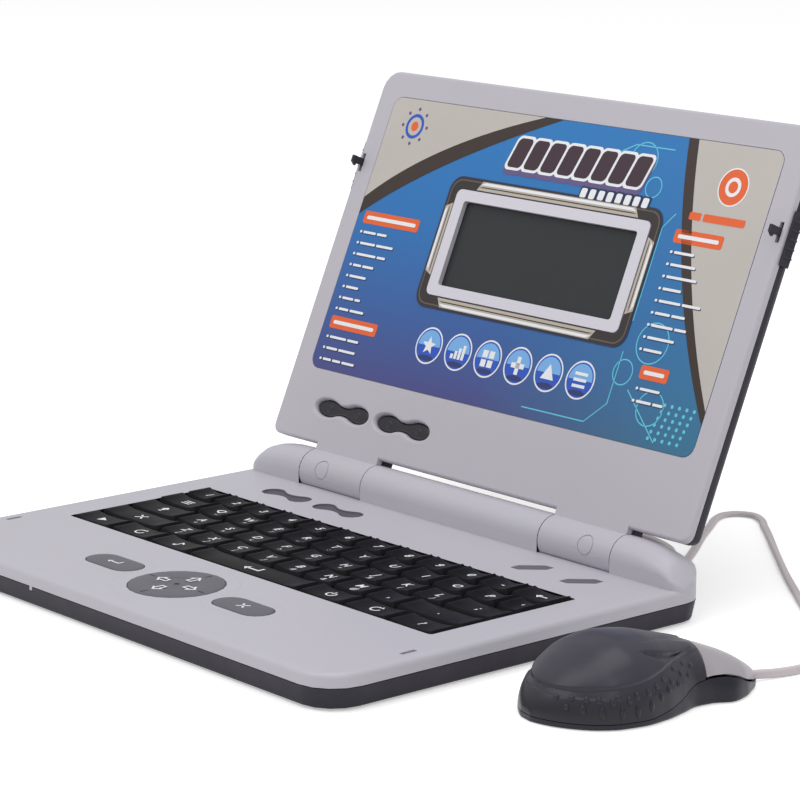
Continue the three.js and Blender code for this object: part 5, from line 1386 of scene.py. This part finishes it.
# Beige fields with brown bands along their curved borders
def addFields(bm, outline):
    half, high = sheet["halfWidth"], sheet["high"]
    inner = sheet["radius"] + 0.01
    topLeft, topRight = ([(x, y) for x, y in outline if side * x > half - inner and y > high - inner]
                         for side in (-1, 1))
    sweep = curveThrough((-half, 133), (-92, 164), (-22, high))
    addInk(bm, "beigeInk", sweep + topLeft, 1)
    addInk(bm, "brownInk", sweep + curveThrough((-10, high), (-88, 155), (-half, 124.5)), 2)
    addInk(bm, "beigeInk", curveThrough((75, high), (88, 122), (half, 66)) + topRight, 1)
    sweep = curveThrough((70, high), (84, 120), (half, 62))
    addInk(bm, "brownInk", sweep + curveThrough((76, high), (90, 123), (half, 68))[::-1], 2)


# Thin cyan rings, lines and a field of dots
cyan = {
    "width": 0.55, "ringSteps": 36, "rings": ((47, 171.5, 8.5), (58, 160, 5), (86, 92, 9.5), (74, 77, 6),
                                              (96, 64, 8)),
    "lines": ([(64, 178), (40, 178), (24, 170)], [(70.5, 86), (70.5, 62), (60, 52), (20, 52)],
              [(80, 70), (104, 50)], [(76, 150), (70.5, 143), (70.5, 100)]),
    "dot": 0.8, "dotRadius": 0.5, "dotStart": (100, 51.5), "dotPitch": (4.4, 3.1), "dotLean": 0.8,
    "columns": 5, "dots": 30,
}


def addRing(bm, ink, x, y, outer, inner, steps, layer):
    addInk(bm, ink, disc(x, y, outer, steps), layer, [disc(x, y, inner, steps)[::-1]])


def addCyan(bm):
    for x, y, size in cyan["rings"]:
        addRing(bm, "cyanInk", x, y, size, size - cyan["width"], cyan["ringSteps"], 1)
    for points in cyan["lines"]:
        addInk(bm, "cyanInk", band(points, cyan["width"]), 1)
    dot, (left, low), (across, up) = cyan["dot"], cyan["dotStart"], cyan["dotPitch"]
    for index in range(cyan["dots"]):
        column, row = index % cyan["columns"], index // cyan["columns"]
        shape = roundedRectangle(-dot, -dot, dot, dot, cyan["dotRadius"], 2)
        addInk(bm, "cyanInk", moved(shape, left + column * across + row * cyan["dotLean"], low + row * up), 1)


# Title place: two rows of slanted blocks with a pale border and a shadow
tileRows = (
    {"half": (4.6, 7), "radius": 2.2, "radiusShare": 0.5, "steps": 5, "start": (-31, 166), "pitch": 11.1,
     "lean": 0.28, "inks": (("violetInk", 3, 1.9, -2.0), ("paleInk", 4, 1.5, 0), ("plumInk", 5, 0.2, 0))},
    {"half": (1.9, 2.3), "radius": 0.9, "radiusShare": 0, "steps": 4, "start": (17, 152.4), "pitch": 5.6,
     "lean": 0.1, "inks": (("shadowInk", 6, 0.8, 0), ("paleInk", 7, 0.0, 0))},
)


def addTiles(bm, row, count=8):
    (halfWide, halfHigh), (left, middle) = row["half"], row["start"]
    for ink, layer, grow, shift in row["inks"]:
        wide, high = halfWide + grow, halfHigh + grow
        tile = roundedRectangle(-wide, -high, wide, high, row["radius"] + grow * row["radiusShare"],
                                row["steps"])
        for index in range(count):
            place = moved(tile, left + index * row["pitch"], middle + shift, 0, 1, row["lean"])
            addInk(bm, ink, place, layer + 0.05 * (index % 2))


# Corner ornament, and the orange disc with two short bars
ornament = {"place": (-108, 171), "ring": (6.2, 4.6), "heart": 2.4, "dots": 8, "dotPlace": 8.6, "dot": 0.9,
            "disc": (104, 165.5), "discRadii": (8.8, 8.1), "discRing": (4.4, 2.7),
            "bars": ((84, 91), (92.3, 117)), "barLevels": (148.5, 152), "barRadius": 0.8}


def addOrnaments(bm):
    x, y = ornament["place"]
    addRing(bm, "badgeInk", x, y, *ornament["ring"], 32, 2)
    addInk(bm, "orangeInk", disc(x, y, ornament["heart"], 20), 2)
    for px, py in disc(x, y, ornament["dotPlace"], ornament["dots"]):
        addInk(bm, "violetInk", disc(px, py, ornament["dot"], 10), 2)
    x, y = ornament["disc"]
    for ink, radius, layer in zip(("paleInk", "orangeInk"), ornament["discRadii"], (2, 3)):
        addInk(bm, ink, disc(x, y, radius, 36), layer)
    addRing(bm, "paleInk", x, y, *ornament["discRing"], 36, 4)
    low, high = ornament["barLevels"]
    for start, end in ornament["bars"]:
        addInk(bm, "orangeInk", roundedRectangle(start, low, end, high, ornament["barRadius"]), 3)


# Printed frame round the display: how far each layer reaches and its corner radius; the bars on it with
# their ink, layer, near and far side and trimmed ends; and how far the bars stay off the corners
bezelPrint = {
    "shadow": (6.3, 7.4), "shadowBelow": 6.4, "dark": (5.8, 7), "glow": (4.9, 6.3), "glowHole": (4.2, 5.8),
    "bars": (("frameLight", 9, 0.7, 5.1, 0), ("frameInk", 10, 2.1, 2.6, 1.2), ("paleInk", 10, 3.4, 4.7, 2.0)),
    "sideLow": (9, 11), "sideHigh": (7, 9), "upper": (12, 9), "lower": (9, 13), "slant": 3,
}


# Brown corners, and pale bars between thin dark lines
def addFrame(bm, hole):
    left, bottom, right, top = sheet["bezel"]

    def around(side, radius, below=None):
        return roundedRectangle(left - side, bottom - (below or side), right + side, top + side, radius, 8)

    addInk(bm, "shadowInk", around(*bezelPrint["shadow"], below=bezelPrint["shadowBelow"]), 6, [hole[::-1]])
    addInk(bm, "frameInk", around(*bezelPrint["dark"]), 7, [hole[::-1]])
    addInk(bm, "frameGlow", around(*bezelPrint["glow"]), 8, [around(*bezelPrint["glowHole"])[::-1]])
    (lowNear, lowFar), (highNear, highFar) = bezelPrint["sideLow"], bezelPrint["sideHigh"]
    slant = bezelPrint["slant"]
    lines = [(edge, away, left + inset[0], right - inset[1])
             for edge, away, inset in ((top, 1, bezelPrint["upper"]), (bottom, -1, bezelPrint["lower"]))]
    for ink, layer, near, far, trim in bezelPrint["bars"]:
        for edge, side in ((left, -1), (right, 1)):
            nearX, farX = edge + side * near, edge + side * far
            addInk(bm, ink, [(nearX, bottom + lowNear + trim), (farX, bottom + lowFar + trim),
                             (farX, top - highFar - trim), (nearX, top - highNear - trim)], layer)
        for edge, away, first, last in lines:
            nearY, farY = edge + away * near, edge + away * far
            addInk(bm, ink, [(first + trim, nearY), (last - trim, nearY), (last - slant - trim, farY),
                             (first + slant + trim, farY)], layer)


# Places on the sheet as shares of its width and height, for the blue's run
def mapSheet(bm):
    half, low, high = sheet["halfWidth"], sheet["low"], sheet["high"]
    flat = bm.loops.layers.uv.new("sheetMap")
    for face in bm.faces:
        for loop in face.loops:
            loop[flat].uv = ((loop.vert.co.x + half) / (2 * half), (loop.vert.co.y - low) / (high - low))


def makeSheet():
    bm = bmesh.new()
    (left, bottom, right, top), gap = sheet["bezel"], sheet["bezelGap"]
    hole = roundedRectangle(left - gap, bottom - gap, right + gap, top + gap, sheet["bezelRadius"])
    half = sheet["halfWidth"]
    outline = roundedRectangle(-half, sheet["low"], half, sheet["high"], sheet["radius"], 8)
    addFilm(bm, outline, hole)
    addFields(bm, outline)
    addCyan(bm)
    for row in tileRows:
        addTiles(bm, row)
    addOrnaments(bm)
    for entry in lists["all"]:
        addList(bm, *entry)
    for x, shapes in zip(badges["places"], badgeShapes.values()):
        addBadge(bm, x, badges["row"], shapes)
    addFrame(bm, hole)
    mapSheet(bm)
    mesh = meshFrom("overlay_sheet_print", bm, lidPlace)
    pieceFrom("overlay_sheet_print", mesh, [sheetPrint] + list(inks.values()), "lid",
              ["overlay_sheet"], sharp=30)


makeSheet()
print("lid sheet and rockers made")


# Mouse: one smooth body cut along its seam and the swept line of its buttons
mouse = {
    "nose": (217, 55.7), "turn": 12.6, "length": 105, "halfWidth": 29.5, "height": 29.8, "roundness": 0.86,
    "bottom": 0.4, "edge": 1.2, "wall": 1.3, "capLine": 33.2, "capSweep": 4, "capReach": 3, "gap": 0.3,
    "capGap": 0.9, "buttonGap": 0.8, "tailInset": 0.02, "noseInset": 2.2, "endShare": 0.9, "spacing": 1.25,
    "underSteps": 18, "underInset": 0.15, "underDrop": 0.6, "underSpacing": 0.06, "underLeast": 0.3,
    "reliefFrom": 3.5, "seatRadius": 12.3, "seatDepth": 12, "seatPlace": -58, "glides": (-16, -89),
    "glideHalf": (8, 2.5), "glideTop": 1.2,
    "stations": [
        (0, 0.13, 0.17), (0.015, 0.28, 0.28), (0.048, 0.49, 0.44), (0.095, 0.69, 0.6), (0.162, 0.875, 0.78),
        (0.248, 0.985, 0.935), (0.333, 1, 0.995), (0.448, 0.91, 0.96), (0.543, 0.765, 0.88),
        (0.638, 0.61, 0.79), (0.7, 0.595, 0.71), (0.78, 0.665, 0.6), (0.857, 0.555, 0.485),
        (0.924, 0.355, 0.345), (0.955, 0.25, 0.265), (0.972, 0.16, 0.215), (0.98, 0.08, 0.18),
    ],
    "seam": [
        (-0.1, 0.085), (0.36, 0.09), (0.44, 0.124), (0.522, 0.188), (0.588, 0.275), (0.647, 0.33),
        (0.704, 0.349), (0.751, 0.355), (0.804, 0.315), (0.88, 0.195), (0.955, 0.11), (1.1, 0.08),
    ],
    "crease": [
        (-12, -96, 14.6), (-8.1, -97.5, 14.4), (0.3, -98.8, 14.1), (7.5, -97.8, 14.3), (13.3, -95.2, 14.5),
        (18.9, -90.6, 15.0), (22.4, -85.8, 15.5), (25.0, -80.2, 15.9), (25.7, -74.5, 16.3),
        (25.5, -68.2, 17.1), (23.6, -61.6, 18.0), (20.5, -55.2, 19.4), (16.7, -49.2, 20.3),
        (13.2, -43.3, 20.5), (10.4, -36.9, 20.2), (8.8, -33.4, 20.0),
    ],
    "petals": [  # upper, middle and lower line
        [(16.4, -66.5, 26.2), (12.3, -65.2, 27.6), (10.2, -60.6, 27.7), (6.9, -53.0, 27.0),
         (3.9, -44.7, 25.2), (3.3, -37.9, 23.3), (3.6, -34.0, 22.0)],
        [(16.4, -66.5, 26.0), (16.4, -59.0, 24.6), (15.7, -53.1, 23.2), (13.8, -46.4, 21.9),
         (12.2, -43.1, 21.6), (9.0, -36.0, 21.2), (7.0, -34, 21.4)],
        [(16.4, -66.5, 25.8), (17.7, -61.6, 24.3), (18.7, -57.8, 22.4), (18.3, -53.9, 21.2),
         (16.3, -49.8, 21.1), (13.5, -45.3, 21.3), (12.2, -43.1, 21.5)],
    ],
    "creaseDepth": 0.5, "bandInset": 0.8, "scoopDepth": 0.9, "petalLift": 0.5,
    "dropWidth": 2.3, "dropLength": 3.3, "dropHeight": 1.4, "dropTail": -84,
    "leastCrest": 0.6, "steepest": 0.96, "foldWidth": 0.55, "bandReach": 5, "bandBlend": 0.5,
    "foldFrom": 12, "foldTail": -98, "foldLevels": (14.1, 20.0), "foldFade": (-45, -36),
    "petalFrom": 19, "petalTail": -67, "petalNose": -33, "petalFade": (-66.5, -60), "scoopFade": (-66.5, -61),
}
mousePlace = Matrix.Translation(Vector((*mouse["nose"], tableHeight)) * mm) @ \
    Matrix.Rotation(math.radians(-mouse["turn"]), 4, "Z") @ Matrix.Scale(mm, 4)
mouseCells = ((140, 150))  # round the skin and along it


# Smooth value between the stations, without overshoot
def between(table, share, column=1):
    keys = [row[0] for row in table]
    share = min(max(share, keys[0]), keys[-1])
    index = min(max(sum(1 for key in keys if key <= share) - 1, 0), len(keys) - 2)

    def rate(place):
        return (table[place + 1][column] - table[place][column]) / (keys[place + 1] - keys[place])

    def slope(place):
        if place <= 0 or place >= len(keys) - 1:
            return rate(min(max(place, 0), len(keys) - 2))
        before, after = rate(place - 1), rate(place)
        return 2 * before * after / (before + after) if before * after > 0 else 0.0

    span = keys[index + 1] - keys[index]
    return cubic(table[index][column], table[index + 1][column], slope(index) * span, slope(index + 1) * span,
                 (share - keys[index]) / span)


def mouseSection(y):
    share = y / mouse["length"] + 1
    width = max(between(mouse["stations"], share, 1) * mouse["halfWidth"], mouse["edge"])
    shoulder = mouse["bottom"] + mouse["edge"]
    crest = max(between(mouse["stations"], share, 2) * mouse["height"] - shoulder, mouse["leastCrest"])
    return width, shoulder, crest


def mousePoint(y, angle):
    width, shoulder, crest = mouseSection(y)
    cosine, sine = math.cos(angle), max(math.sin(angle), 0)
    x = width * math.copysign(abs(cosine) ** mouse["roundness"], cosine)
    return Vector((x, y, shoulder + crest * sine ** mouse["roundness"]))


# Angle at which a section meets a level
def angleAt(y, level):
    width, shoulder, crest = mouseSection(y)
    share = min(max((level - shoulder) / crest, 0), mouse["steepest"])
    return math.asin(share ** (1 / mouse["roundness"]))


def seamLevel(y):
    return between(mouse["seam"], y / mouse["length"] + 1) * mouse["height"]


def capEdge(x):
    return -mouse["capLine"] - mouse["capSweep"] * (x / mouse["halfWidth"]) ** 2


def distanceTo(points, place):
    gaps = []
    for start, end in zip(points, points[1:]):
        line = end - start
        share = min(max((place - start).dot(line) / line.length_squared, 0), 1)
        gaps.append((place - (start + line * share)).length)
    return min(gaps)


creaseLine = [Vector(point) for point in mouse["crease"]]
petalLines = [[Vector(point) for point in line] for line in mouse["petals"]]


def levelOn(points, y):
    for start, end in zip(points, points[1:]):
        low, high = sorted((start.y, end.y))
        if low <= y <= high and high > low:
            return start.z + (end.z - start.z) * (y - start.y) / (end.y - start.y)
    return None


# Droplets of the grip band: place along the mouse, level, and how long each is beside the common length
gripDrops = [
    (-98.5, 11.6, 0.8), (-97, 8.6, 0.8), (-95, 11.9, 0.8), (-92.6, 8.2, 1.2), (-91, 11.8, 0.9),
    (-87.2, 11.7, 1), (-86.6, 7, 1.6), (-82.6, 11, 1.2), (-80.3, 12.6, 0.8), (-79.4, 6.6, 1.7),
    (-76, 11.2, 1.1), (-72.4, 12.4, 1.1), (-72.8, 6.8, 1.7), (-67, 12.9, 1), (-66.4, 8, 1.5),
    (-62.4, 14.2, 0.8), (-61, 10.4, 1.2), (-58, 15.8, 0.7), (-56.4, 12, 0.9), (-54, 14.4, 0.8),
    (-50.6, 18, 0.7), (-50.2, 12.6, 0.8), (-47.4, 15.6, 0.8), (-44.4, 18.4, 0.7), (-43, 13.9, 0.7),
    (-40.4, 16.6, 0.7),
]


# The fold under the dome, and the band below it that lies a little deeper
def creaseRelief(point):
    gap, level = distanceTo(creaseLine, point), levelOn(creaseLine[2:], point.y)
    if level is None:
        level = mouse["foldLevels"][0 if point.y < mouse["foldTail"] else 1]
    below = smoothStep(mouse["bandBlend"], -mouse["bandBlend"], point.z - level)
    fold = mouse["creaseDepth"] * math.exp(-(gap / mouse["foldWidth"]) ** 2)
    inset = mouse["bandInset"] * below * math.exp(-(gap / mouse["bandReach"]) ** 2)
    return -(fold + inset) * (1 - 0.5 * smoothStep(*mouse["foldFade"], point.y))


# The raised petal behind the buttons, and the scoop under it
def petalRelief(point):
    offset = 0.0
    top, middle, low = (levelOn(line, point.y) for line in petalLines)
    if top is not None and middle is not None and top > middle:
        share = (point.z - middle) / (top - middle)
        if 0 < share < 1:
            ends = smoothStep(0, 0.12, share) * smoothStep(1, 0.75, share)
            offset += mouse["petalLift"] * ends * smoothStep(*mouse["petalFade"], point.y)
    if middle is not None and low is not None and middle > low:
        share = (point.z - low) / (middle - low)
        if -0.3 < share < 1:
            ends = smoothStep(-0.3, 0.7, share) * smoothStep(1.0, 0.78, share)
            offset -= mouse["scoopDepth"] * ends * smoothStep(*mouse["scoopFade"], point.y)
    return offset


# How far the skin is lifted or sunk
def shellRelief(place):
    point = Vector((abs(place.x), place.y, place.z))
    crease = creaseRelief(point) if point.z > mouse["foldFrom"] else 0.0
    onPetal = point.z > mouse["petalFrom"] and mouse["petalTail"] < point.y < mouse["petalNose"]
    return crease + (petalRelief(point) if onPetal else 0.0)


# Place and outward direction of the relieved skin
def skinAt(y, angle):
    place = mousePoint(y, angle)
    across = mousePoint(y, angle + 0.01) - mousePoint(y, angle - 0.01)
    along = mousePoint(y + 0.2, angle) - mousePoint(y - 0.2, angle)
    outward = across.cross(along).normalized()
    if outward.z < 0:
        outward.negate()
    return place + outward * shellRelief(place), outward, along.normalized()


# Droplets on both sides of the band, kept off the tail's left outline
def gripMesh():
    spots = []
    for y, level, stretch in gripDrops:
        side = angleAt(y, level)
        for angle in (side, math.pi - side):
            if angle < math.pi / 2 or y > mouse["dropTail"]:
                spots.append((*skinAt(y, angle), stretch))
    mesh = bpy.data.meshes.new("spots")
    mesh.from_pydata([tuple(place * mm) for place, _, _, _ in spots], [], [])
    for label, values in (("lift", [outward for _, outward, _, _ in spots]),
                          ("rise", [along.cross(outward) for _, outward, along, _ in spots]),
                          ("stretch", [Vector((1, stretch, 1)) for _, _, _, stretch in spots])):
        layer = mesh.attributes.new(label, "FLOAT_VECTOR", "POINT")
        for entry, value in zip(layer.data, values):
            entry.vector = value
    mesh = grown(mesh, dropTree, {"Width": mouse["dropWidth"] * mm, "Length": mouse["dropLength"] * mm,
                                  "Height": mouse["dropHeight"] * mm, "Finish": mouseGloss})
    mesh.transform(Matrix.Scale(1 / mm, 4))
    mesh.transform(mousePlace)
    return mesh


# Open skin through rows of places, facing away from the inside, lifted and sunk by its relief
def skinThrough(rows, facesInward, relief):
    bm = bmesh.new()
    joinRows(bm, [[bm.verts.new(place) for place in row] for row in rows])
    bmesh.ops.remove_doubles(bm, verts=bm.verts, dist=1e-4)
    bmesh.ops.recalc_face_normals(bm, faces=bm.faces)
    if facesInward(bm.faces):
        bmesh.ops.reverse_faces(bm, faces=bm.faces)
    bm.normal_update()
    moves = [(vert, relief(vert.co), vert.normal.copy()) for vert in bm.verts]
    for vert, offset, normal in moves:
        vert.co += normal * offset
    return bm


# The skin as a wall, thickened inwards
def walled(name, bm):
    carrier = linked("carrier", meshFrom(name, bm, mousePlace))
    thick = carrier.modifiers.new("wall", "SOLIDIFY")
    thick.thickness = mouse["wall"] * mm
    thick.offset = -1
    return settled(carrier)


def mostlyDown(faces):
    return sum(face.normal.z * face.calc_area() for face in faces) < 0


def lowestUp(faces):
    return min(faces, key=lambda face: face.calc_center_median().z).normal.z > 0


# Point on the skin at a share of the way over it, from seam to seam
def overSeam(y, share, clear):
    side = angleAt(y, seamLevel(y) + clear)
    return mousePoint(y, side + (math.pi - 2 * side) * share)


# Where a line along the skin reaches the swept line, or a distance past it
def capStop(share, past=0.0):
    low = -mouse["capLine"] - mouse["capSweep"] - mouse["capReach"]
    high = -mouse["capLine"] + mouse["capReach"]
    for _ in range(30):
        middle = (low + high) / 2
        if middle < capEdge(overSeam(middle, share, mouse["gap"] / 2).x) + past:
            low = middle
        else:
            high = middle
    return low


# A row drawn in to close an end of the body
def closingRow(row, level):
    return [Vector((place.x * mouse["endShare"], place.y, level)) for place in row]


# Shell: from the tail to the swept line, between the seam's two sides
def makeShell():
    around, along = mouseCells
    tail = mouse["tailInset"] - mouse["length"]
    shares = [step / around for step in range(around + 1)]
    stops = [capStop(share) for share in shares]
    rows = []
    for row in range(along + 1):
        part = (row / along) ** mouse["spacing"]
        places = [tail + (stop + mouse["length"]) * part for stop in stops]
        rows.append([overSeam(y, share, mouse["gap"] / 2) for y, share in zip(places, shares)])
    rows.insert(0, closingRow(rows[0], rows[0][0].z))
    shell = walled("mouse_shell_fine", skinThrough(rows, mostlyDown, shellRelief))
    mesh = joined("mouse_shell_fine", (shell, 0), (gripMesh(), 0))
    pieceFrom("mouse_shell_fine", mesh, [mouseGloss], "base", ["mouse_shell"], sharp=55)


# Buttons: from the swept line to the nose, split along the middle
def makeMouseButtons():
    around, along = mouseCells[0] // 2, mouseCells[1] // 3
    shares = [step / around for step in range(around + 1)]
    stops = [capStop(share, mouse["capGap"]) for share in shares]
    middle, gap = around // 2, mouse["gap"] / 2
    for name, span, outer in (("mouse_button_right", slice(0, middle + 1), 0),
                              ("mouse_button_left", slice(middle, around + 1), -1)):
        rows = []
        for row in range(along + 1):
            part = 1 - (1 - row / along) ** mouse["spacing"]
            places = [stop + (-mouse["noseInset"] - stop) * part for stop in stops[span]]
            line = [overSeam(y, share, mouse["buttonGap"]) for y, share in zip(places, shares[span])]
            for place in line:
                place.x = min(place.x, -gap) if outer else max(place.x, gap)
            rows.append(line)
        level = rows[-1][outer].z
        rows.append([Vector((place.x, place.y, level)) for place in rows[-1]])
        mesh = walled(name + "_fine", skinThrough(rows, mostlyDown, lambda place: 0.0))
        pieceFrom(name + "_fine", mesh, [silverCap], name, [name], sharp=55)


# The fold runs a little way below the seam; the flat underside has none
def baseRelief(place):
    return shellRelief(place) if place.z > mouse["reliefFrom"] else 0.0


# Base: below the seam, with a flat underside, the ball's opening and two glides
def makeMouseBase():
    along, steps = mouseCells[1], mouse["underSteps"]
    tail = mouse["tailInset"] - mouse["length"]
    rows = []
    for row in range(along + 1):
        part = row / along - mouse["underSpacing"] * math.sin(math.tau * row / along)
        y = tail + (-tail - mouse["noseInset"]) * part
        width, shoulder, _ = mouseSection(y)
        side = angleAt(y, seamLevel(y) - mouse["gap"] / 2)
        line = [mousePoint(y, side * (1 - step / steps)) for step in range(steps + 1)]
        line.append(Vector((width - mouse["underInset"], y, shoulder - mouse["underDrop"])))
        line.append(Vector((max(width - mouse["edge"] / 2, mouse["underLeast"]), y, mouse["bottom"])))
        rows.append(line + [Vector((-place.x, place.y, place.z)) for place in reversed(line)])
    rows = [closingRow(rows[0], rows[0][0].z), *rows, closingRow(rows[-1], rows[-1][0].z)]
    skin = skinThrough(rows, lowestUp, baseRelief)
    seat = bmesh.new()
    radius = mouse["seatRadius"]
    bmesh.ops.create_cone(seat, cap_ends=True, segments=48, radius1=radius, radius2=radius,
                          depth=mouse["seatDepth"], matrix=Matrix.Translation((0, mouse["seatPlace"], 0)))
    body = carved(walled("mouse_base_fine", skin), meshFrom("seat", seat, mousePlace))
    glides = bmesh.new()
    halfWide, halfDeep = mouse["glideHalf"]
    for y in mouse["glides"]:
        size = Matrix.Diagonal((2 * halfWide, 2 * halfDeep, mouse["glideTop"], 1))
        bmesh.ops.create_cube(glides, size=1, matrix=Matrix.Translation((0, y, mouse["glideTop"] / 2)) @ size)
    mesh = joined("mouse_base_fine", (body, 0), (meshFrom("glides", glides, mousePlace), 0))
    pieceFrom("mouse_base_fine", mesh, [mouseDark], "base", ["mouse_base"])


def makeBall():
    bm = bmesh.new()
    low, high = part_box("mouse_ball")
    bmesh.ops.create_uvsphere(bm, u_segments=40, v_segments=24, radius=7.5,
                              matrix=Matrix.Translation((low + high) / 2 / mm))
    mesh = meshFrom("mouse_ball_fine", bm)
    pieceFrom("mouse_ball_fine", mesh, [rubberMatt], "mouse_ball", ["mouse_ball"], sharp=60)


makeShell()
makeMouseButtons()
makeMouseBase()
makeBall()
print("mouse made")
